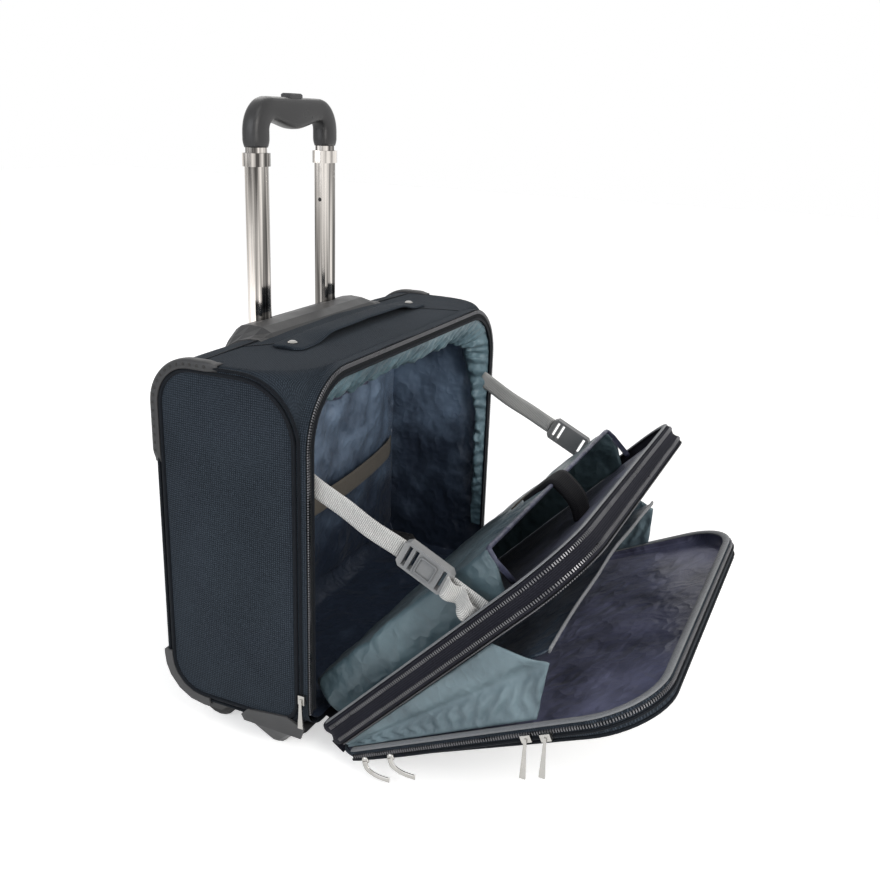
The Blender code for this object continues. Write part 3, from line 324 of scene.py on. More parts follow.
# The tube chrome carries painted reflections: dark and light lines along its length in its colour.
CHROME = metal("tube_chrome", (0.66, 0.62, 0.58), 0.10, True)
NICKEL = metal("zip_nickel", (0.46, 0.45, 0.43), 0.24)
DARK_METAL = metal("zip_teeth", (0.16, 0.16, 0.17), 0.38)


# Mesh helpers.
def piece(name, verts, faces, uvs, finish, smooth=True):
    mesh = bpy.data.meshes.new(name)
    mesh.from_pydata([tuple(v) for v in verts], [], faces)
    mesh.materials.append(finish)
    layer = mesh.uv_layers.new(name="cloth")
    for loop in mesh.loops:
        layer.data[loop.index].uv = uvs[loop.vertex_index]
    for face in mesh.polygons:
        face.use_smooth = smooth
    mesh.update()
    made = bpy.data.objects.new(name, mesh)
    bpy.context.scene.collection.objects.link(made)
    return made


def grid(name, rows, finish, around=False, loop=False, cap_first=False, cap_last=False):
    """Surface through rows of points. around closes each row, loop joins the last row to the first."""
    n = len(rows[0])
    verts = [p for row in rows for p in row]
    uvs = []
    down = [0.0] * n
    for i, row in enumerate(rows):
        run = 0.0
        for j, p in enumerate(row):
            if j:
                run += (p - row[j - 1]).length
            if i:
                down[j] += (p - rows[i - 1][j]).length
            uvs.append((run, down[j]))
    faces = []
    for i in range(len(rows) if loop else len(rows) - 1):
        a, b = i * n, ((i + 1) % len(rows)) * n
        for j in range(n if around else n - 1):
            k = (j + 1) % n
            faces.append((a + j, a + k, b + k, b + j))
    if cap_first:
        faces.append(tuple(range(n))[::-1])
    if cap_last:
        faces.append(tuple(range((len(rows) - 1) * n, len(rows) * n)))
    return piece(name, verts, faces, uvs, finish)


def tube(name, rows, finish):
    """Closed form through rings of points, capped at both ends."""
    return grid(name, rows, finish, around=True, cap_first=True, cap_last=True)


def bowl(name, rows, finish):
    """Form through rings of points, open at the first ring and capped at the last."""
    return grid(name, rows, finish, around=True, cap_last=True)


def sheet_rows(columns, lines, point):
    """Rows of points over a sheet; point takes the shares across and along it, from 0 to 1."""
    return [[point(j / columns, k / lines) for j in range(columns + 1)] for k in range(lines + 1)]


def bake(made):
    """Applies the modifiers to the mesh."""
    bpy.context.view_layer.update()
    ready = made.evaluated_get(bpy.context.evaluated_depsgraph_get())
    made.data = bpy.data.meshes.new_from_object(ready)
    made.modifiers.clear()
    return made


def thicken(made, thickness):
    modifier = made.modifiers.new("thickness", "SOLIDIFY")
    modifier.thickness = thickness
    modifier.offset = 0.0
    return bake(made)


def flat_weave(made, across, along):
    """Sets the cloth's threads straight along two ways instead of along the mesh's own rows."""
    layer = made.data.uv_layers["cloth"]
    for loop in made.data.loops:
        p = made.data.vertices[loop.vertex_index].co
        layer.data[loop.index].uv = (p.dot(across), p.dot(along))


def crumple(made, amount, size, seed):
    """Sharp soft creases as thin cloth has: a finer mesh, then moves along the normals."""
    modifier = made.modifiers.new("smooth", "SUBSURF")
    modifier.levels = 1
    modifier.render_levels = 1
    mesh = bake(made).data
    moves = []
    for vertex in mesh.vertices:
        broad = 1 - 2 * abs(rough(vertex.co, size, seed))
        small = 1 - 2 * abs(rough(vertex.co, size * 0.45, seed + 4.0))
        moves.append(vertex.normal * (amount * (0.65 * broad + 0.35 * small - 0.5)))
    for vertex, move in zip(mesh.vertices, moves):
        vertex.co += move
    mesh.update()
    return made


def arc(cx, cy, radius, start, end, steps):
    points = []
    for i in range(steps + 1):
        a = math.radians(start + (end - start) * i / steps)
        points.append((cx + radius * math.cos(a), cy + radius * math.sin(a)))
    return points


def span(a, b, steps):
    return [(mix(a[0], b[0], k / steps), mix(a[1], b[1], k / steps)) for k in range(1, steps)]


def circle(count):
    turns = [2 * math.pi * k / count for k in range(count)]
    return [(math.cos(a), math.sin(a)) for a in turns]


def oval(p, u, v, wide, tall, count):
    """Ring of points round p, with these half widths along u and v."""
    return [p + u * (wide * c) + v * (tall * s) for c, s in circle(count)]


def heading(line, i):
    return (line[min(i + 1, len(line) - 1)] - line[max(i - 1, 0)]).normalized()


def resample(points, step):
    """Points along an open line at an even spacing."""
    done = [Vector(points[0])]
    left = step
    for a, b in zip(points, points[1:]):
        a, b = Vector(a), Vector(b)
        size = (b - a).length
        while left <= size:
            done.append(a.lerp(b, left / size))
            left += step
        left -= size
    return done


def filled(ring, shares, place):
    """Smaller rings that fill a ring towards its middle, each point put in its place."""
    middle = sum(ring, Vector()) / len(ring)
    return [[place(middle.lerp(p, share)) for p in ring] for share in shares]


def joined(corners, steps):
    """Closed line through corner arcs, with these steps on the straight runs between them."""
    points = []
    for k in range(4):
        points += corners[k] + span(corners[k][-1], corners[(k + 1) % 4][0], steps[k])
    return points


LOW_STEPS = 6
BOTTOM_STEPS = 28


def outline(half, low, high, r_top, r_low, fine=12):
    """Rounded rectangle in (x, z), anticlockwise from the lower left, evenly filled on its straight runs."""
    corners = [
        arc(-half + r_low, low + r_low, r_low, 180, 270, LOW_STEPS),
        arc(half - r_low, low + r_low, r_low, 270, 360, LOW_STEPS),
        arc(half - r_top, high - r_top, r_top, 0, 90, fine),
        arc(-half + r_top, high - r_top, r_top, 90, 180, fine),
    ]
    return joined(corners, (BOTTOM_STEPS, 18, BOTTOM_STEPS, 18))


def edge_loop(half, low, high, r_top, r_low, full=True):
    """Points and outward ways of a panel's edge; not full leaves out the bottom run."""
    points = outline(half, low, high, r_top, r_low)
    if not full:
        points = (points + points[:2])[2 * LOW_STEPS + BOTTOM_STEPS :]
    outs = []
    for i, p in enumerate(points):
        a = Vector(points[i - 1] if full or i else p)
        b = Vector(points[(i + 1) % len(points)] if full or i < len(points) - 1 else p)
        way = (b - a).normalized()
        outs.append(Vector((way.y, -way.x)))
    return points, outs


TAPE_SECTION = ((0.0, 0.0), (0.15, 0.8), (0.5, 1.0), (0.85, 0.8), (1.0, 0.0), (0.5, -0.1))


def tape_on(name, edge, mapper, y, start, width, thick, finish, body):
    """Flat or rolled tape along a panel's edge; start and width are measured in from the edge."""
    rows = []
    for p, out in zip(*edge):
        row = []
        for a, b in TAPE_SECTION:
            m = -start - width * a
            row.append(mapper(p[0] + out.x * m, y + thick * b, p[1] + out.y * m))
        rows.append(row)
    made = tube(name, rows, finish)
    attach(made, body)
    return made


TOOTH_PITCH = 0.0026
TOOTH_WIDTH = TOOTH_PITCH * 0.62
TOOTH_CORNERS = ((-0.5, -0.5), (0.5, -0.5), (0.5, 0.5), (-0.5, 0.5))
FACE_TOOTH = (0.0042, 0.0010, 0.75)
EDGE_TOOTH = (0.0040, 0.0013, 0.7)


def teeth(name, edge, mapper, body, taper, corner):
    """Zip teeth as one mesh of small blocks; corner gives how far out and how deep a corner stands."""
    points, outs = edge
    verts, faces, uvs = [], [], []
    left = 0.0
    for i in range(len(points) - 1):
        way = Vector(points[i + 1]) - Vector(points[i])
        size = way.length
        if size < 1e-9:
            continue
        way /= size
        while left < size:
            p = Vector(points[i]) + way * left
            base = len(verts)
            for top in (0, 1):
                trim = taper if top else 1.0
                for s, t in TOOTH_CORNERS:
                    out, depth = corner(t * trim, top)
                    q = p + way * (s * TOOTH_WIDTH * trim) + outs[i] * out
                    verts.append(mapper(q.x, depth, q.y))
                    uvs.append((q.x, q.y))
            faces += [(base + 3, base + 2, base + 1, base), (base + 4, base + 5, base + 6, base + 7)]
            for k in range(4):
                j = (k + 1) % 4
                faces.append((base + k, base + j, base + 4 + j, base + 4 + k))
            left += TOOTH_PITCH
        left -= size
    made = piece(name, verts, faces, uvs, DARK_METAL, False)
    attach(made, body)


def face_teeth(name, edge, mapper, y, start, body):
    """Zip teeth on the face of a panel."""
    length, tall, taper = FACE_TOOTH
    teeth(name, edge, mapper, body, taper, lambda t, top: (t * length - start, y - tall * top))


def edge_teeth(name, edge, mapper, depth, out_by, body):
    """Zip teeth on the edge of a panel, standing outwards."""
    length, tall, taper = EDGE_TOOTH
    teeth(name, edge, mapper, body, taper, lambda t, top: (out_by + tall * top, depth + t * length))


RIBBON_SECTION = (
    (-0.5, 0.0), (-0.48, 0.4), (-0.3, 0.5), (-0.1, 0.5), (0.1, 0.5), (0.3, 0.5), (0.48, 0.4),
    (0.5, 0.0), (0.48, -0.4), (0.3, -0.5), (0.1, -0.5), (-0.1, -0.5), (-0.3, -0.5), (-0.48, -0.4),
)


def ribbon(name, path, width_way, width, thick, finish):
    """Webbing along a path of points: a flat section with soft edges."""
    rows = []
    for i, p in enumerate(path):
        way = heading(path, i)
        side = (width_way - way * width_way.dot(way)).normalized()
        up = way.cross(side).normalized()
        rows.append([p + side * (s * width) + up * (t * thick) for s, t in RIBBON_SECTION])
    return tube(name, rows, finish)


def curve_through(points, steps):
    """Smooth run of points through a few given ones."""
    done = []
    n = len(points)
    for i in range(n - 1):
        p0, p1, p2, p3 = points[max(i - 1, 0)], points[i], points[i + 1], points[min(i + 2, n - 1)]
        for k in range(steps):
            t = k / steps
            bend = (2 * p0 - 5 * p1 + 4 * p2 - p3) * t * t
            done.append(0.5 * ((2 * p1) + (p2 - p0) * t + bend + (3 * p1 - p0 - 3 * p2 + p3) * t**3))
    done.append(points[-1])
    return done


DOME_SIDES = 10
DOME_RINGS = ((1.0, 0.0), (0.9, 0.55), (0.55, 0.9))


def domes(name, places, way, radius, height, finish, body):
    """Small round studs at these places, standing along one way."""
    side = way.orthogonal().normalized()
    third = way.cross(side)
    n = DOME_SIDES
    verts, faces, uvs = [], [], []
    for place in places:
        base = len(verts)
        for ring, up in DOME_RINGS:
            verts += oval(place + way * (height * up), side, third, radius * ring, radius * ring, n)
            uvs += [(radius * ring * c, radius * ring * s) for c, s in circle(n)]
        verts.append(place + way * height)
        uvs.append((0.0, 0.0))
        for k in range(n):
            j = (k + 1) % n
            for a in (base, base + n):
                faces.append((a + k, a + j, a + n + j, a + n + k))
            faces.append((base + 2 * n + k, base + 2 * n + j, base + 3 * n))
        faces.append(tuple(range(base, base + n))[::-1])
    made = piece(name, verts, faces, uvs, finish)
    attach(made, body)


# Case body: outer skin, side panels, piping and rim zip.
CROWN_STATIONS = (0.0, 0.03, 0.08, 0.15, 0.25, 0.4, 0.6, 0.8, 1.0)
TOP_SWELL = 0.004
BACK_SWELL = 0.003


def corner_radius(y, big):
    t = min(max((y - RIM_STRIP) / SIDE_CORNER, 0.0), 1.0)
    return EDGE_RADIUS + (big - EDGE_RADIUS) * (1 - math.sqrt(1 - (1 - t) ** 2))


def body_ring(y, inset, depth, back_r):
    drop = inset
    past = y - (depth - back_r)
    if past > 1e-6:
        drop = back_r - math.sqrt(max((back_r - inset) ** 2 - past**2, 0.0))
    r_top = max(corner_radius(y, RIM_TOP_RADIUS) - inset, EDGE_RADIUS / 2)
    r_low = max(corner_radius(y, RIM_LOW_RADIUS) - inset, EDGE_RADIUS / 2)
    return outline(HALF - inset, BASE_Z + drop, TOP_Z - drop, r_top, r_low)


def stations(inset, depth, back_r):
    """Depths of the body's rings from the rim to the back, closer where the form turns."""
    flat = depth - back_r
    depths = [0.0, 0.005] + [RIM_STRIP + SIDE_CORNER * s for s in CROWN_STATIONS]
    depths = [y for y in depths if y < flat - 0.006]
    room = flat - depths[-1]
    extra = max(1, round(room / 0.015))
    depths += [depths[-1] + room * k / extra for k in range(1, extra)]
    return depths + [flat + (back_r - inset) * math.sin(math.radians(9 * k)) for k in range(11)]


def skin_point(x, y, z):
    """Soft cloth over board: the top and the back swell a little between their seams."""
    p = at(x, y, z)
    across = ease(1 - abs(x) / (HALF - 0.02))
    if z > TOP_Z - 0.02:
        p.z += TOP_SWELL * across * ease(y / 0.05) * ease((DEPTH - y) / 0.05)
    if y > DEPTH - 0.002:
        p.y += BACK_SWELL * across * ease((z - BASE_Z) / 0.08) * ease((TOP_Z - z) / 0.08)
    if z > TOP_Z - 0.03:
        p.z += 0.0008 * rough(p, 0.05)
    return p


rows = []
for y in stations(0.0, DEPTH, BACK_RADIUS):
    rows.append([skin_point(x, y, z) for x, z in body_ring(y, 0.0, DEPTH, BACK_RADIUS)])
rows += filled(rows[-1], (0.9, 0.7, 0.45, 0.2, 0.04), lambda q: skin_point(*(q - OFFSET)))
skin = bowl("case_skin", rows, OUTER)
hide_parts("body_band")
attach(skin, "case")


def side_outline(offset, fine=10):
    """Edge of a side panel in (y, z), moved out by an offset."""
    front = RIM_STRIP + 0.002 - offset
    back = DEPTH - SEAM_INSET + offset
    low = BASE_Z + SEAM_INSET - offset
    high = TOP_Z - SEAM_INSET + offset
    r_front = SIDE_CORNER - 0.002 + offset
    r_back = BACK_RADIUS - SEAM_INSET + offset
    r_toe = RIM_LOW_RADIUS - 0.004 + offset
    corners = [
        arc(front + r_toe, low + r_toe, r_toe, 180, 270, fine),
        arc(back - r_back, low + r_back, r_back, 270, 360, fine),
        arc(back - r_back, high - r_back, r_back, 0, 90, fine),
        arc(front + r_front, high - r_front, r_front, 90, 180, fine),
    ]
    return joined(corners, (10, 24, 8, 22))


def cord_ring(name, points, x, radius):
    path = [at(x, y, z) for y, z in points]
    rows = []
    for i, p in enumerate(path):
        way = (path[(i + 1) % len(path)] - path[i - 1]).normalized()
        rows.append(oval(p, way.cross(X_WAY).normalized(), X_WAY, radius, radius, 8))
    made = grid(name, rows, CORD, around=True, loop=True)
    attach(made, "case")
    return made


PANEL_RISE = 0.0006
PANEL_CROWN = 0.0028
for side, sign in SIDES:
    edge = side_outline(-0.0012)
    cy = sum(p[0] for p in edge) / len(edge)
    cz = sum(p[1] for p in edge) / len(edge)
    rows = []
    for share in (1.0, 0.985, 0.95, 0.88, 0.75, 0.55, 0.3, 0.05):
        ring = []
        for y, z in edge:
            y, z = mix(cy, y, share), mix(cz, z, share)
            crown = PANEL_RISE
            if share < 0.97:
                crown += PANEL_CROWN * (1 - share**6) + 0.0012 * rough((y, z, sign), 0.07)
            ring.append(at(sign * (HALF + crown), y, z))
        rows.append(ring[::-sign])
    panel = bowl("side_panel_" + side, rows, OUTER)
    flat_weave(panel, Y_WAY, Z_WAY)
    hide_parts(side + "_side_panel")
    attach(panel, "case")
    piping = cord_ring("piping_" + side, side_outline(0.0), sign * (HALF + PANEL_RISE), 0.0021)
    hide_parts(side + "_piping")
    cord_ring("piping_outer_" + side, side_outline(0.0050), sign * (HALF + 0.0002), 0.0016)

rim_edge = edge_loop(HALF, BASE_Z, TOP_Z, RIM_TOP_RADIUS, RIM_LOW_RADIUS, False)
rim_tape = tape_on("rim_tape", rim_edge, at, -0.0002, 0.0002, 0.0102, -0.0008, TAPE, "case")
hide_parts("body_zip_tape")
face_teeth("rim_teeth", rim_edge, at, -0.0008, 0.0030, "case")
tape_on("rim_roll", rim_edge, at, -0.0001, 0.0088, 0.0042, -0.0016, CORD, "case")

# Loose lining, creased along the walls.
LINING_INSET = 0.0058
LINING_DEPTH = 0.1452
LINING_RADIUS = 0.030


def lining_point(x, y, z):
    p = Vector((x, y, z))
    inward = Vector((-x, 0, (BASE_Z + TOP_Z) / 2 - z)).normalized()
    fold = 0.0022 * (0.5 + rough(p, 0.05, 3.0)) * ease(y / 0.03)
    fold += 0.0030 * max(0.0, rough((x * 0.6, y * 0.4, z * 0.6), 0.09, 7.0)) * ease(y / 0.05)
    return at(*(p + inward * max(fold, 0.0)))


def lining_back(p):
    return p - Y_WAY * (0.0025 * (0.5 + rough(p, 0.06, 5.0)))


depths = stations(LINING_INSET, LINING_DEPTH, LINING_RADIUS)
halfway = [(a + b) / 2 for a, b in zip(depths, depths[1:]) if b - a > 0.007]
rows = []
for y in sorted(depths + halfway):
    ring = body_ring(y, LINING_INSET, LINING_DEPTH, LINING_RADIUS)
    rows.append([lining_point(x, y, z) for x, z in ring])
rows += filled(rows[-1], (0.92, 0.75, 0.5, 0.25, 0.05), lining_back)
lining = bowl("case_lining", [ring[::-1] for ring in rows], SHADED_CASE_LINING)
crumple(lining, 0.0038, 0.055, 1.0)
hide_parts("body_lining")
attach(lining, "case")

# Gathered lining inside the rim: puckers that hang from the zip tape.
GATHER_STEP = 0.0022
GATHER_ROWS = 12
GATHER_INSET = 0.0112
GATHER_DROP = 0.046
GATHER_TOP = 0.030
GATHER_SIDE = 0.010
GATHER_LOW = 0.045
GATHER_FULL = 0.72
inner_rim = edge_loop(
    HALF - GATHER_INSET, BASE_Z + GATHER_INSET, TOP_Z - GATHER_INSET,
    RIM_TOP_RADIUS - GATHER_INSET, RIM_LOW_RADIUS - GATHER_INSET, False,
)[0]
inner_rim = resample([p for p in inner_rim if p[1] > BASE_Z + GATHER_LOW], GATHER_STEP)


def gather_point(i, t):
    """i counts along the rim, and t runs from the zip tape to the lining behind."""
    p = inner_rim[i]
    run = i * GATHER_STEP
    way = heading(inner_rim, i)
    pucker = math.sin(run / 0.0024 + 2.4 * rough((run, 0.0, t * 0.02), 0.02, 3.0) + 1.1 * t)
    loose = rough((run, t * 0.03, 0.0), 0.016, 9.0)
    end = ease(min(i, len(inner_rim) - 1 - i) / 40)
    hang = mix(GATHER_SIDE, GATHER_TOP, ease((p.y - TOP_Z + 0.085) / 0.07))
    hang *= mix(0.4, 1.0, ease((p.y - BASE_Z - 0.05) / 0.20))
    swell = math.sin(math.pi * min(1.0, t * 1.05)) ** 0.7
    if t < GATHER_FULL:
        out = math.sin(math.pi / 2 * t / GATHER_FULL)
    else:
        out = 1 - ((t - GATHER_FULL) / (1 - GATHER_FULL)) ** 1.5
    lift = 0.0006 + end * (hang * out * (1 + 0.16 * loose) + swell * (0.0026 * pucker + 0.0030 * loose))
    narrow = mix(0.34, 1.0, ease((p.y - BASE_Z - 0.20) / 0.13))
    deep = 0.0012 + GATHER_DROP * narrow * t * (0.9 + 0.12 * loose)
    return at(p.x - way.y * lift, deep, p.y + way.x * lift)


turns = [i for i, p in enumerate(inner_rim) if p.y > TOP_Z - RIM_TOP_RADIUS]
for name, first, last, drop in (
    ("right", 0, turns[0], 0.55),
    ("top", turns[0], turns[-1], 1.6),
    ("left", turns[-1], len(inner_rim) - 1, 0.55),
):
    rows = []
    for k in range(GATHER_ROWS + 1):
        rows.append([gather_point(i, k / GATHER_ROWS) for i in range(first, last + 1)])
    gather = crumple(grid("rim_gather_" + name, rows, GATHER_PAINTED_LIGHT), 0.0020, 0.018, 6.0)
    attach(gather, "case")
    if name != "top":
        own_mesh(gather)

# Slack pocket on the back wall with an elastic hem.
BACK_POCKET_HALF = 0.196
BACK_POCKET_LOW = BASE_Z + 0.030
BACK_POCKET_HIGH = TOP_Z - 0.085
BACK_POCKET_Y = 0.1375
BACK_POCKET_EDGE = 0.125


def back_pocket_point(s, t):
    x = mix(-BACK_POCKET_HALF, BACK_POCKET_HALF, s)
    z = mix(BACK_POCKET_LOW, BACK_POCKET_HIGH, t)
    gathers = math.sin(x / 0.0052 + 3.0 * rough((x, t, 0.0), 0.05)) * ease((t - 0.55) / 0.45)
    loose = rough((x, z * 0.6, 0.0), 0.045, 4.0)
    off = 0.003 + 0.011 * ease(t) + 0.0022 * gathers + 0.0045 * loose
    off *= ease(min(s, 1 - s) / BACK_POCKET_EDGE)
    sag = 0.012 * ease(t) * (1 - (x / BACK_POCKET_HALF) ** 2)
    return at(x, BACK_POCKET_Y - max(off, 0.0008), z - sag)


rows = sheet_rows(80, 32, back_pocket_point)
back_pocket = crumple(grid("back_pocket", rows, SHADED_CASE_LINING), 0.0042, 0.05, 3.0)
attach(back_pocket, "case")
hem_rows = [oval(p, Y_WAY, Z_WAY, 0.0018, 0.0055, 8) for p in rows[-1]]
back_hem = tube("back_pocket_hem", hem_rows, DARK_LINING)
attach(back_hem, "case")

# Middle panel: edge band with two ridges, binding, zip and padded board.
mid_size = (PANEL_HALF, PANEL_LOW, PANEL_TOP, PANEL_TOP_RADIUS, PANEL_LOW_RADIUS)
mid_edge = edge_loop(*mid_size)
mid_open_edge = edge_loop(*mid_size, False)
MID_SECTION = [
    (-0.0035, MID_REAR), (-0.0010, MID_REAR), (0.0002, -0.0055), (0.0012, -0.0085), (0.0010, -0.0115),
    (-0.0004, -0.0150), (-0.0010, -0.0170), (-0.0004, -0.0190), (0.0010, -0.0225), (0.0012, -0.0255),
    (0.0002, -0.0278), (-0.0010, MID_FACE), (-0.0035, MID_FACE), (-0.0040, -0.0170),
]
rows = []
for p, out in zip(*mid_edge):
    rows.append([in_mid(p[0] + out.x * m, y, p[1] + out.y * m) for m, y in MID_SECTION])
band = grid("mid_band", rows, EDGE_CLOTH, around=True, loop=True)
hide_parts("mid_frame")
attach(band, "mid_panel")
binding = tape_on(
    "mid_edge_binding", mid_open_edge, in_mid, MID_REAR + 0.0001, -0.0006, 0.0075, 0.0016,
    BINDING, "mid_panel",
)
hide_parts("mid_binding")
tape_on(
    "mid_front_tape", mid_open_edge, in_mid, MID_FACE - 0.0001, -0.0004, 0.0080, -0.0009,
    TAPE, "mid_panel",
)
face_teeth("mid_front_teeth", mid_open_edge, in_mid, MID_FACE - 0.0009, 0.0014, "mid_panel")
edge_teeth("mid_rear_teeth", mid_open_edge, in_mid, -0.0098, 0.0009, "mid_panel")
edge_teeth("mid_fore_teeth", mid_open_edge, in_mid, -0.0240, 0.0009, "mid_panel")

BOARD_INSET = 0.0045
BOARD_FRONT = -0.0152
BOARD_REAR = -0.0128
BOARD_CROWN = 0.0012
board_size = (PANEL_HALF - BOARD_INSET, PANEL_LOW + BOARD_INSET, PANEL_TOP - BOARD_INSET)
edge = outline(*board_size, PANEL_TOP_RADIUS - BOARD_INSET, PANEL_LOW_RADIUS - BOARD_INSET)
board_middle = (board_size[1] + board_size[2]) / 2
face_shares = (0.04, 0.3, 0.6, 0.85, 0.97)
board_rings = [(share, BOARD_FRONT, -1) for share in face_shares]
board_rings += [(1.0, mix(BOARD_FRONT, BOARD_REAR, t), 0) for t in (0.25, 0.75)]
board_rings += [(share, BOARD_REAR, 1) for share in face_shares[::-1]]
rows = []
for share, y, sign in board_rings:
    ring = []
    for x, z in edge:
        x, z = x * share, mix(board_middle, z, share)
        lift = sign * BOARD_CROWN * (1 - share**4) * (0.7 + 0.5 * rough((x, z, BOARD_FRONT), 0.08, 2.0))
        ring.append(in_mid(x, y + lift, z))
    rows.append(ring)
mid_lining = tube("mid_lining", rows, DARK_LINING)
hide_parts("mid_board")
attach(mid_lining, "mid_panel")

# Laptop sleeve with its floor, hem and strap.
POCKET_HALF = 0.194
POCKET_DEPTH = 0.033
POCKET_REAR = -0.0118
POCKET_LOW = 0.022
POCKET_HIGH = 0.274
POCKET_BEND = 0.005
POCKET_BULGE = 0.004
POCKET_STEPS = 26
left_wall = []
for k in range(6):
    wall_y = mix(POCKET_REAR, POCKET_DEPTH - POCKET_BULGE, k / 6)
    left_wall.append((-POCKET_HALF - POCKET_BULGE * math.sin(math.pi * k / 6), wall_y))
left_wall += arc(-POCKET_HALF + POCKET_BEND, POCKET_DEPTH - POCKET_BEND, POCKET_BEND, 180, 90, 4)
right_wall = [(-x, y) for x, y in left_wall[::-1]]
cross = left_wall + span(left_wall[-1], right_wall[0], 34) + right_wall
rows = []
for k in range(POCKET_STEPS + 1):
    t = k / POCKET_STEPS
    z = mix(POCKET_LOW, POCKET_HIGH, t)
    row = []
    for x, y in cross:
        wall = ease((y + 0.012) / 0.03)
        slack = 0.0022 * rough((x, y, z), 0.045, 4.0) * wall
        sag = 0.004 * ease(1 - abs(x) / POCKET_HALF) * math.sin(math.pi * t) * wall
        top = 0.012 * ease((t - 0.82) / 0.18) * (1 - wall)
        row.append(in_mid(x + slack * 0.8, y + slack + sag * 0.6, z - top))
    rows.append(row)
pocket = grid("laptop_sleeve", rows, LINING)
thicken(crumple(pocket, 0.0030, 0.05, 5.0), 0.0026)
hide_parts("laptop_pocket")
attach(pocket, "mid_panel")


def sleeve_floor_point(s, t):
    x = mix(-POCKET_HALF, POCKET_HALF, s)
    y = mix(POCKET_REAR, POCKET_DEPTH - 0.002, t)
    return in_mid(x, y, POCKET_LOW + 0.001 + 0.0015 * rough((x, y, 1), 0.05))


rows = sheet_rows(30, 6, sleeve_floor_point)
floor_sheet = thicken(grid("laptop_sleeve_floor", rows, LINING), 0.0016)
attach(floor_sheet, "mid_panel")
hem_end = (POCKET_HALF + 0.001, -0.006)
path = [(-hem_end[0], hem_end[1])] + cross[5:-5] + [hem_end]
rows = [oval(in_mid(x, y, POCKET_HIGH + 0.0012), MID_OUT, MID_WAY, 0.0024, 0.0034, 8) for x, y in path]
hem = tube("laptop_sleeve_hem", rows, DARK_LINING)
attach(hem, "mid_panel")

STRAP_SPOTS = (
    (-0.0115, 0.272), (0.004, 0.2795), (0.024, 0.2800), (0.0352, 0.2765), (0.0372, 0.262), (0.0372, 0.240),
)
TAB_SPOTS = ((0.0395, 0.245), (0.0400, 0.232), (0.0388, 0.218))
strap_path = curve_through([in_mid(0, y, z) for y, z in STRAP_SPOTS], 6)
strap = ribbon("laptop_strap_web", strap_path, X_WAY, 0.042, 0.0065, BLACK_WEB)
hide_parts("laptop_strap")
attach(strap, "mid_panel")
tab_path = curve_through([in_mid(0, y, z) for y, z in TAB_SPOTS], 5)
tab = ribbon("laptop_strap_tab", tab_path, X_WAY, 0.026, 0.0020, BROWN_WEB)
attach(tab, "mid_panel")

# Front flap: skin, lining, binding, zip, piping and outer pocket.
FLAP_RIM = (0.0028, -0.0008)
flap_size = (PANEL_HALF, FLAP_LOW, FLAP_TOP, PANEL_TOP_RADIUS, PANEL_LOW_RADIUS)
flap_edge = edge_loop(*flap_size)
flap_open_edge = edge_loop(*flap_size, False)
flap_middle = Vector((0.0, (FLAP_LOW + FLAP_TOP) / 2))


def flap_depth(z):
    return mix(FLAP_THIN, FLAP_THICK, (z - FLAP_LOW) / (FLAP_TOP - FLAP_LOW))


def flap_ring(inset, depth_at):
    """Ring along the flap's edge, moved in by an inset, at the depth for each height."""
    ring = []
    for p, out in zip(*flap_edge):
        ring.append(in_flap(p[0] - out.x * inset, depth_at(p[1]), p[1] - out.y * inset))
    return ring


def flap_fill(share, depth_at):
    """Ring inside the flap's edge, at this share of its size."""
    spots = [flap_middle.lerp(Vector(p), share) for p in flap_edge[0]]
    return [in_flap(q.x, depth_at(q), q.y) for q in spots]


def puffed(q, share):
    """Depth of the outer skin, which is padded towards the middle."""
    puff = 0.003 * (1 - share**3) * (0.6 + 0.6 * rough((q.x, q.y, 0), 0.09, 6.0))
    return -flap_depth(q.y) - puff


def creased(q):
    """Depth of the loose lining inside."""
    crease = 0.0022 * (0.4 + rough((q.x, q.y, 1), 0.05, 8.0))
    crease += 0.002 * max(0.0, rough((q.x * 0.5, q.y, 2), 0.06, 9.0))
    return crease - (flap_depth(q.y) - 0.0040)


rows = []
for share, less in ((0.05, 0.0), (0.35, 0.0), (0.65, 0.0), (0.85, 0.0), (0.94, 0.0004)):
    rows.append(flap_fill(share, lambda q: less + puffed(q, share)))
for inset, less in ((0.006, 0.0006), (0.0025, 0.0022), (0.0006, 0.0050), (0.0, 0.0080)):
    rows.append(flap_ring(inset, lambda z: -max(flap_depth(z) - less, 0.0035)))
rows.append(flap_ring(0.0, lambda z: -0.0015))
rows.append(flap_ring(FLAP_RIM[0], lambda z: FLAP_RIM[1]))
flap_rows = [ring[::-1] for ring in rows]
outer_flap = grid("flap_skin", flap_rows, OUTER, around=True, cap_first=True)
flat_weave(outer_flap, X_WAY, FLAP_WAY)
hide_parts("flap_tray")
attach(outer_flap, "flap")
rows = [flap_ring(FLAP_RIM[0], lambda z: FLAP_RIM[1])]
for inset, down in ((0.0034, 0.35), (0.0042, 0.75), (0.0075, 0.95)):
    rows.append(flap_ring(inset, lambda z: -(flap_depth(z) - 0.0035) * down))
rows += [flap_fill(share, creased) for share in (0.93, 0.85, 0.7, 0.5, 0.3, 0.05)]
flap_inside = bowl("flap_lining", rows, FLAP_LINING_PAINTED_LIGHT)
flat_weave(flap_inside, X_WAY, FLAP_WAY)
crumple(flap_inside, 0.0024, 0.06, 2.0)
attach(flap_inside, "flap")
binding = tape_on(
    "flap_edge_binding", flap_open_edge, in_flap, FLAP_RIM[1], -0.0004, 0.0084, 0.0018,
    BINDING, "flap",
)
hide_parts("flap_binding")
edge_teeth("flap_teeth", flap_open_edge, in_flap, -0.0058, 0.0004, "flap")
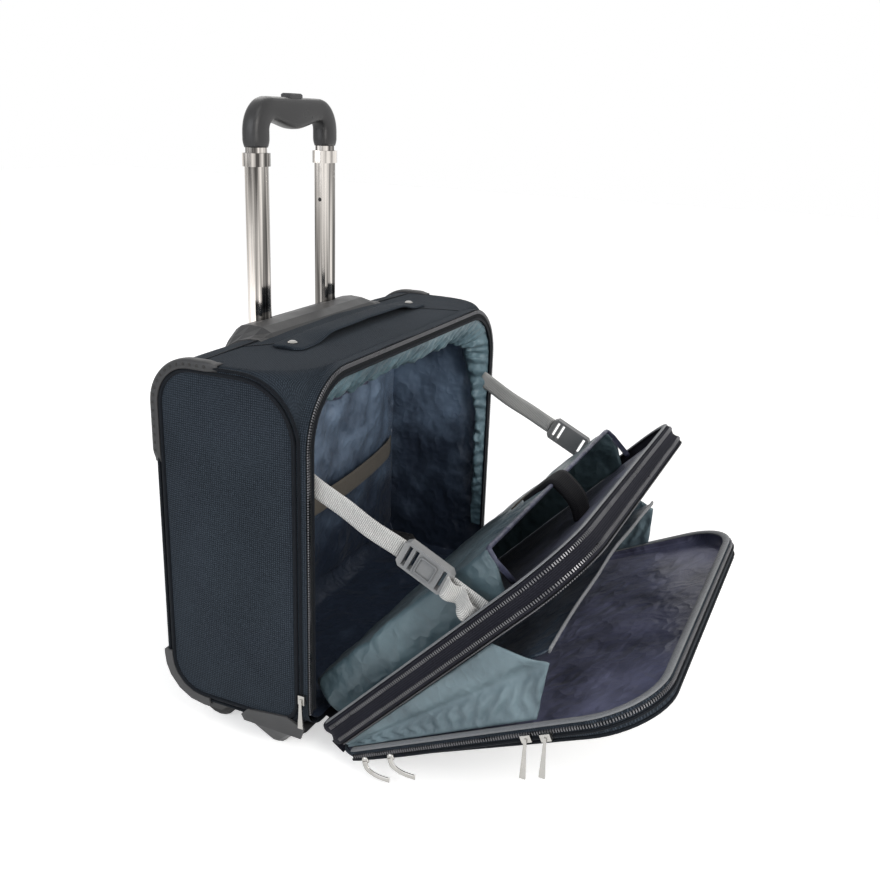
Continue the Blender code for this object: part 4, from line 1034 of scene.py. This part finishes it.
for name, depth, out_by, radius in (
    ("flap_piping", 0.0105, 0.0008, 0.0016),
    ("flap_piping_outer", 0.0200, -0.0016, 0.0018),
):
    rows = []
    for p, out in zip(*flap_open_edge):
        y = -min(depth, flap_depth(p[1]) - 0.002)
        middle = in_flap(p[0] + out.x * out_by, y, p[1] + out.y * out_by)
        out_way = X_WAY * out.x + FLAP_WAY * out.y
        rows.append(oval(middle, out_way, FLAP_WAY.cross(X_WAY), radius, radius, 6))
    cord = tube(name, rows, CORD)
    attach(cord, "flap")

pocket_edge = outline(0.174, 0.061, FLAP_TOP - 0.045, 0.030, 0.020)
pocket_middle = Vector((0.0, 0.176))
POCKET_RISES = (
    (1.0, 0.0004), (0.995, 0.0020), (0.98, 0.0034), (0.9, 0.0050), (0.6, 0.0068), (0.3, 0.0072),
    (0.05, 0.0072),
)
rows = []
for share, up in POCKET_RISES:
    ring = []
    for spot in pocket_edge:
        q = pocket_middle.lerp(Vector(spot), share)
        wrinkle = 0.0012 * rough((q.x, q.y, 3), 0.05, 2.5) if share < 0.95 else 0.0
        ring.append(in_flap(q.x, -flap_depth(q.y) - up + wrinkle - 0.0022 * (1 - share), q.y))
    rows.append(ring)
front_pocket = bowl("flap_front_pocket", rows, OUTER)
flat_weave(front_pocket, X_WAY, FLAP_WAY)
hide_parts("flap_pocket")
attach(front_pocket, "flap")

# Second pair of zip sliders, whose pulls lie under the flap's side.
PULL_MOVES = (
    (-0.0022, 0.0, 0.0), (-0.0030, -0.004, -0.007), (-0.0026, -0.014, -0.0115), (-0.0020, -0.027, -0.0125),
)
for name, z in (("near", 0.034), ("far", 0.064)):
    start = in_flap(-PANEL_HALF - 0.0012, -0.0105, z)
    domes("flap_slider_" + name, [start], -X_WAY, 0.0042, 0.0022, NICKEL, "flap")
    line = curve_through([start + Vector(move) for move in PULL_MOVES], 6)
    pull = ribbon("flap_pull_" + name, line, FLAP_WAY, 0.0052, 0.0017, NICKEL)
    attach(pull, "flap")

# Divider and gussets of the file section.
DIVIDER_HALF = 0.196
DIVIDER_LENGTH = 0.250


def divider_point(s, t):
    x = mix(-DIVIDER_HALF, DIVIDER_HALF, s)
    z = mix(0.004, DIVIDER_LENGTH, t)
    wavy = 0.0035 * rough((x, z, 0), 0.09, 1.5) * ease(z / 0.06)
    wavy += 0.004 * math.sin(math.pi * s) * (z / DIVIDER_LENGTH)
    return in_divider(x, wavy, z)


rows = sheet_rows(32, 20, divider_point)
divider = grid("divider_sheet", rows, DIVIDER_CLOTH)
thicken(crumple(divider, 0.0012, 0.06, 8.0), 0.0014)
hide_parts("divider")
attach(divider, "divider")
hem_rows = [oval(p, Y_WAY, Z_WAY, 0.0014, 0.0030, 6) for p in rows[-1]]
divider_hem = tube("divider_binding", hem_rows, BINDING)
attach(divider_hem, "divider")

GUSSET_X = 0.2118
GUSSET_START = 0.05
GUSSET_ENDS = ((0.0, 0.222), (0.5, 0.252), (1.0, 0.222))


def gusset_point(sign, t, r):
    """t runs from the middle panel over the divider's fold to the flap, and r from the hinge outwards."""
    ends = []
    for share, reach in GUSSET_ENDS:
        ends.append(Vector(turned(mix(-0.0008, 0.0018, share), reach, FLAP_OPEN * share)))
    end = ends[0].lerp(ends[1], t * 2) if t < 0.5 else ends[1].lerp(ends[2], t * 2 - 1)
    end *= r
    fold = math.exp(-(((t - 0.5) / 0.11) ** 2))
    lower = ease((t - 0.5) / 0.2) * ease((1 - t) / 0.12)
    inset = 0.012 * r * fold + 0.0035 * (1 - fold) * r * math.sin(math.pi * t)
    inset += lower * 0.0019 * (1 + math.sin(92 * r + 5 * rough((r, t, sign), 0.22)))
    return in_mid(sign * (GUSSET_X - inset), FLAP_PLACE[0] + end.x, FLAP_PLACE[1] + end.y)


for side, sign in SIDES:
    rows = sheet_rows(28, 60, lambda s, t: gusset_point(sign, s, mix(GUSSET_START, 1.0, t)))
    fan = thicken(grid(side + "_gusset_cloth", rows, GUSSET_PAINTED_LIGHT), 0.0010)
    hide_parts(side + "_gusset")
    gusset_point(sign, 0.06, 0.8)
    gusset_point(sign, 0.94, 0.8)
    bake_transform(fan)


def hinge_strip(name, middle, half, wide, ends):
    """Cloth strip that closes a hinge, its width laid along the way from one of its two bodies to the other.
    """
    way = (ends[1] - ends[0]).normalized()
    line = [middle + X_WAY * mix(-half, half, k / 12) for k in range(13)]
    strip = ribbon(name, line, way, wide, 0.0012, EDGE_CLOTH)
    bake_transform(strip)


case_ends = (at(0, 0.004, BASE_Z), in_mid(0, -0.009, 0.0))
file_ends = (in_mid(0, -0.024, 0.002), in_flap(0, -0.007, 0.001))
hinge_strip("case_hinge_cloth", in_mid(0, -0.0020, -0.0006), 0.190, 0.014, case_ends)
hinge_strip("file_hinge_cloth", in_mid(0, -0.0310, 0.0012), 0.207, 0.016, file_ends)

# Check straps: webbing, folded tail and the raised frame on the buckle.
STRAP_X = 0.2104
WEB_WIDE = 0.0205
WEB_THICK = 0.0016
TAIL_OUT = 0.0042
BUCKLE_MID = 0.68
FRAME_HALF = 0.0085
FRAME_CORNER = 0.0016
strap_top = Vector((0.012, 0.294))
strap_run = Vector(turned(-0.008, 0.243, MID_OPEN)) + Vector((0.0, HINGE_Z)) - strap_top
buckle_half = 0.026 / strap_run.length
upper_end = BUCKLE_MID - buckle_half
lower_start = BUCKLE_MID + buckle_half
buckle_low, buckle_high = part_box("left_buckle")
BUCKLE_FACE = (buckle_high.x - buckle_low.x) / 2


def on_strap(sign, t, out=0.0, drop=0.0):
    """A point of the strap's line, moved outwards and down."""
    p = strap_top + strap_run * t
    return at(sign * (STRAP_X + out), p.x, p.y - drop)


for side, sign in SIDES:
    way = (on_strap(sign, 1.0) - on_strap(sign, 0.0)).normalized()
    wide = way.cross(X_WAY).normalized()
    line = []
    for k in range(17):
        sag = 0.0016 * math.sin(math.pi * k / 16)
        line.append(on_strap(sign, upper_end * k / 16, 0.001 * math.sin(k * 0.7), sag))
    upper = ribbon(side + "_webbing_upper", line, wide, WEB_WIDE, WEB_THICK, WEBBING)
    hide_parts(side + "_strap_upper")
    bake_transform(upper)
    line = [on_strap(sign, mix(lower_start, 1.0, k / 8)) for k in range(9)]
    lower = ribbon(side + "_webbing_lower", line, wide, WEB_WIDE, WEB_THICK, WEBBING)
    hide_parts(side + "_strap_lower")
    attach(lower, "mid_panel")
    line = []
    for k in range(49):
        t = k / 48
        loop = math.sin(math.pi * 3 * t) * 0.0034 * ease(t / 0.12)
        droop = 0.009 * t * t - 0.0016 * math.cos(math.pi * 3 * t) * ease(t / 0.2)
        line.append(on_strap(sign, lower_start + mix(-0.015, 0.13, t), TAIL_OUT + loop, droop))
    tail = ribbon(side + "_webbing_tail", line, wide, 0.0195, 0.0014, WEBBING)
    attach(tail, "mid_panel")
    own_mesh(tail)
    middle = on_strap(sign, BUCKLE_MID) + way * 0.002 + X_WAY * (sign * BUCKLE_FACE)
    square = outline(FRAME_HALF, -FRAME_HALF, FRAME_HALF, FRAME_CORNER, FRAME_CORNER, 4)
    raised = [middle + way * a + wide * b for a, b in square]
    rows = []
    for i, p in enumerate(raised):
        along = (raised[(i + 1) % len(raised)] - raised[i - 1]).normalized()
        rows.append(oval(p, along.cross(X_WAY), X_WAY, 0.0012, 0.0009, 6))
    raised_frame = grid(side + "_buckle_frame", rows, BUCKLE_PLASTIC, around=True, loop=True)
    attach(raised_frame, "mid_panel")

# Carry handle: a padded strap with flat pads at both ends.
HANDLE_HALF = 0.142
HANDLE_Y = 0.075
HANDLE_WIDE = 0.018
HANDLE_THICK = 0.0032
HANDLE_RISE = 0.0058
HANDLE_SECTION = (
    (-1.0, 0.2), (-0.97, 0.7), (-0.8, 0.9), (-0.4, 1.1), (0.0, 1.2), (0.4, 1.1), (0.8, 0.9), (0.97, 0.7),
    (1.0, 0.2), (0.8, 0.0), (0.0, -0.05), (-0.8, 0.0),
)
rows = []
for i in range(61):
    share = mix(-1.0, 1.0, i / 60)
    rise = HANDLE_RISE * ease((0.8 - abs(share)) / 0.26)
    end = min(1.0, (1 - abs(share)) / 0.06)
    wide = HANDLE_WIDE * (0.55 + 0.45 * math.sqrt(max(0.0, 1 - (1 - end) ** 2)))
    base = skin_point(share * HANDLE_HALF, HANDLE_Y, TOP_Z).z + 0.0004
    row = []
    for a, b in HANDLE_SECTION:
        lifted = rise * (0.5 - 0.5 * a) ** 0.7
        row.append(at(share * HANDLE_HALF, HANDLE_Y + a * wide, base + lifted + HANDLE_THICK * b))
    rows.append(row)
handle = tube("carry_strap", rows, OUTER)
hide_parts("carry_handle")
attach(handle, "case")

# Packing strap across the back wall.
PACKING_HALF = 0.205
line = []
for k in range(21):
    slack = math.sin(math.pi * k / 20)
    x = mix(-PACKING_HALF, PACKING_HALF, k / 20)
    line.append(at(x, 0.1352 - 0.020 * slack**0.6, 0.182 - 0.006 * slack))
packing = ribbon("packing_web", line, Z_WAY, 0.025, 0.0016, BROWN_WEB)
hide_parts("packing_strap")
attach(packing, "case")

# Grip: the same line as the solid, with finer rounding.
BAR_HALF = 0.0667
GRIP_BASE_Z = 0.5745
GRIP_BAR_Z = 0.612
GRIP_BEND = 0.022
GRIP_STEPS = 80
GRIP_DEEP = 0.021
GRIP_BELLY = 0.008
GRIP_ENDS = (0.0030, 0.0016, 0.0006, 0.0)
GRIP_SQUARE = 0.62


def grip_path(k, n):
    """Place and heading along the grip from the left leg to the right one."""
    leg = GRIP_BAR_Z - GRIP_BEND - GRIP_BASE_Z
    bend = GRIP_BEND * math.pi / 2
    total = 2 * leg + 2 * bend + 2 * (BAR_HALF - GRIP_BEND)
    d = total * k / n
    if d > total / 2:
        x, z, way = grip_path(n - k, n)
        return -x, z, -way
    if d < leg:
        return -BAR_HALF, GRIP_BASE_Z + d, 90.0
    if d < leg + bend:
        a = (d - leg) / GRIP_BEND
        x = -BAR_HALF + GRIP_BEND * (1 - math.cos(a))
        return x, GRIP_BAR_Z - GRIP_BEND * (1 - math.sin(a)), 90 - math.degrees(a)
    return -BAR_HALF + GRIP_BEND + d - leg - bend, GRIP_BAR_Z, 0.0


def squared(value):
    """Widens a circle's coordinate towards a rounded square."""
    return math.copysign(abs(value) ** GRIP_SQUARE, value)


rows = []
for k in range(GRIP_STEPS + 1):
    x, z, way = grip_path(k, GRIP_STEPS)
    upright = abs(way) / 90.0
    less = GRIP_ENDS[min(k, GRIP_STEPS - k, 3)]
    thick = mix(0.024, 0.0285, upright) - less
    belly = GRIP_BELLY * ease(1 - abs(x) / (BAR_HALF * 0.75)) * (1 - upright)
    out_x, out_z = turned(0.0, 1.0, math.radians(way))
    row = []
    for c, s in circle(24):
        m = squared(s) * thick / 2 - (belly if s < 0 else 0.0)
        row.append(at(x + out_x * m, TUBE_Y + squared(c) * (GRIP_DEEP - less) / 2, z + out_z * m))
    rows.append(row)
grip = tube("grip_moulding", rows, BLACK_PLASTIC)
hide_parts("grip")
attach(grip, "grip_stage")

# Top guards with studs, rings under the rivets, and dimples and lock pin on the tubes.
GUARD_FORE = 0.030
GUARD_BACK = 0.060
GUARD_STEP = 0.004
GUARD_SECTION = (
    (0.0036, -0.0060), (0.0042, -0.0030), (0.0040, 0.0002), (0.0030, 0.0020), (0.0008, 0.0029),
    (-0.0030, 0.0030), (-0.0075, 0.0025), (-0.0090, 0.0010), (-0.0090, -0.0005), (-0.0005, -0.0005),
    (-0.0005, -0.0060),
)
bend_y, bend_z = DEPTH - BACK_RADIUS, TOP_Z - BACK_RADIUS
guard_line = [(bend_y - GUARD_FORE, TOP_Z)] + arc(bend_y, bend_z, BACK_RADIUS, 90, 0, 16)
guard_line = resample(guard_line + [(DEPTH, bend_z - GUARD_BACK)], GUARD_STEP)
for side, sign in SIDES:
    rows = []
    spots = []
    for i, p in enumerate(guard_line):
        way = heading(guard_line, i)
        out = Vector((-way.y, way.x))
        tip = ease(min(i, len(guard_line) - 1 - i) / 3)
        row = []
        for a, b in GUARD_SECTION:
            q = p + out * (b if b < 0 else mix(0.0006, b, tip))
            row.append(at(sign * (HALF + (a if a < 0 else mix(0.0008, a, tip))), q.x, q.y))
        rows.append(row[::-sign])
        if i % 2 and 2 < i < len(guard_line) - 2:
            q = p + out * -0.0016
            spots.append(at(sign * (HALF + 0.0040), q.x, q.y))
    guard = tube("top_guard_" + side, rows, GREY_PLASTIC)
    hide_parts("top_corner_guard_" + side)
    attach(guard, "case")
    domes("guard_studs_" + side, spots, X_WAY * sign, 0.0017, 0.0011, STUD, "case")
    ring_low, ring_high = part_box("handle_rivet_" + side)
    centre = (ring_low + ring_high) / 2
    centre.z = ring_low.z - 0.0004
    domes("rivet_ring_" + side, [centre], Z_WAY, 0.0072, 0.0008, STUD, "case")
    spots = [at(sign * BAR_HALF + 0.006, TUBE_Y - 0.0082, z) for z in (0.5465, 0.5410)]
    domes("tube_dimples_" + side, spots, -Y_WAY, 0.0019, 0.0003, CHROME, "handle_stage")
spots = [at(BAR_HALF - 0.0129, TUBE_Y - 0.001, 0.516)]
domes("tube_lock_pin", spots, -X_WAY, 0.0024, 0.0006, STUD, "handle_stage")

# Sewn lines on the top.
for name, spots in (
    ("back", ((-0.216, 0.1175), (-0.07, 0.1175), (0.07, 0.1175), (0.216, 0.1175))),
    ("left", ((-0.152, 0.1170), (-0.128, 0.098), (-0.110, 0.088))),
    ("right", ((0.112, 0.066), (0.128, 0.045), (0.140, 0.014))),
):
    line = curve_through([skin_point(x, y, TOP_Z) for x, y in spots], 10)
    rows = []
    for i, p in enumerate(line):
        out = heading(line, i).cross(Z_WAY).normalized()
        rows.append(oval(p, out, Z_WAY, 0.0013, 0.0007, 6))
    seam = tube("top_seam_" + name, rows, CORD)
    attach(seam, "case")

# Rigid solids keep their shape and get their finish and softened edges.
FINISHES = {
    "grey_plastic": GREY_PLASTIC,
    "black_plastic": BLACK_PLASTIC,
    "chrome_tube": CHROME,
    "zip_metal": NICKEL,
    "tyre_rubber": RUBBER,
}
for row in frame["record"]["subparts"]:
    solid = nodes[row["node"]]
    finish = FINISHES.get(row["material_slot"])
    if finish is None:
        continue
    if "buckle" in row["node"]:
        finish = BUCKLE_PLASTIC
    solid.data.materials.clear()
    solid.data.materials.append(finish)
    for face in solid.data.polygons:
        face.use_smooth = True
    if row["node"] == "handle_bezel":
        continue
    softened = solid.modifiers.new("softened", "BEVEL")
    softened.width = 0.0007
    softened.segments = 2
    softened.limit_method = "ANGLE"
    softened.angle_limit = math.radians(35)
    level = solid.modifiers.new("level", "WEIGHTED_NORMAL")
    level.keep_sharp = True


# Floor, light and camera.
WHITE = (1.0, 1.0, 1.0, 1.0)


def shown_rays(tree):
    """1 where the background is seen straight, in metal or through glass, and 0 where it only lights."""
    rays = node(tree, "ShaderNodeLightPath").outputs
    seen = math_node(tree, "MAXIMUM", rays["Is Camera Ray"], rays["Is Glossy Ray"])
    return math_node(tree, "MAXIMUM", seen, rays["Is Transmission Ray"])


bpy.ops.mesh.primitive_plane_add(size=14.0, location=(0, 0, -0.0005))
floor = bpy.context.object
floor.name = "floor"
floor_finish, tree, surface = shader("floor_pale", (0.90, 0.90, 0.895), 0.8, {"Emission Color": WHITE})
cloudy = noise_node(tree, node(tree, "ShaderNodeTexCoord").outputs["Object"], 6.0)
tone = ramp(tree, cloudy, (0.3, (0.89, 0.89, 0.885)), (0.7, (0.91, 0.91, 0.905)))
put(tree, surface.inputs["Base Color"], tone)
put(tree, surface.inputs["Emission Strength"], times(tree, shown_rays(tree), 0.54))
floor.data.materials.append(floor_finish)

world = bpy.data.worlds.new("studio")
bpy.context.scene.world = world
world.use_nodes = True
tree = world.node_tree
sky = tree.nodes["Background"]
sky.inputs["Color"].default_value = WHITE
put(tree, sky.inputs["Strength"], plus(tree, times(tree, shown_rays(tree), 0.68), 0.32))


def light_object(name, kind, power):
    made = bpy.data.objects.new(name, bpy.data.lights.new(name, kind))
    made.data.energy = power
    bpy.context.scene.collection.objects.link(made)
    return made


sun = light_object("sun", "SUN", 0.50)
sun.data.angle = math.radians(35)
sun.rotation_euler = (math.radians(28), math.radians(-22), 0.0)
for name, power, size, place, height, color in (
    ("key", 27.0, 1.2, (-0.75, -1.7, 1.05), 0.28, (1.0, 0.97, 0.93)),
    ("fill", 23.0, 1.6, (-2.2, 0.9, 1.2), 0.25, (0.93, 0.96, 1.0)),
    ("rim", 6.0, 1.2, (1.4, 1.0, 1.8), 0.3, (1.0, 0.98, 0.95)),
):
    lamp = light_object(name, "AREA", power)
    lamp.data.size = size
    lamp.data.color = color
    lamp.location = place
    lamp.rotation_euler = (Z_WAY * height - Vector(place)).to_track_quat("-Z", "Y").to_euler()

EYE = Vector((-0.92119, -0.43971, 0.61344))
AHEAD = Vector((0.86631542, 0.3851705, -0.31802715))
RIGHT = Vector((0.4167921, -0.90831738, 0.03526858))
UP = Vector((0.27528518, 0.16310492, 0.94742538))
SENSOR = 36.0
FOCAL_PIXELS = 972.954
PHOTO_PIXELS = 880
camera = bpy.data.objects.new("camera", bpy.data.cameras.new("camera"))
bpy.context.scene.collection.objects.link(camera)
camera.data.sensor_width = SENSOR
camera.data.lens = FOCAL_PIXELS / PHOTO_PIXELS * SENSOR
camera.matrix_world = Matrix.Translation(EYE + OFFSET) @ Matrix((RIGHT, UP, -AHEAD)).transposed().to_4x4()
bpy.context.scene.camera = camera
bpy.context.scene.view_settings.view_transform = "Standard"
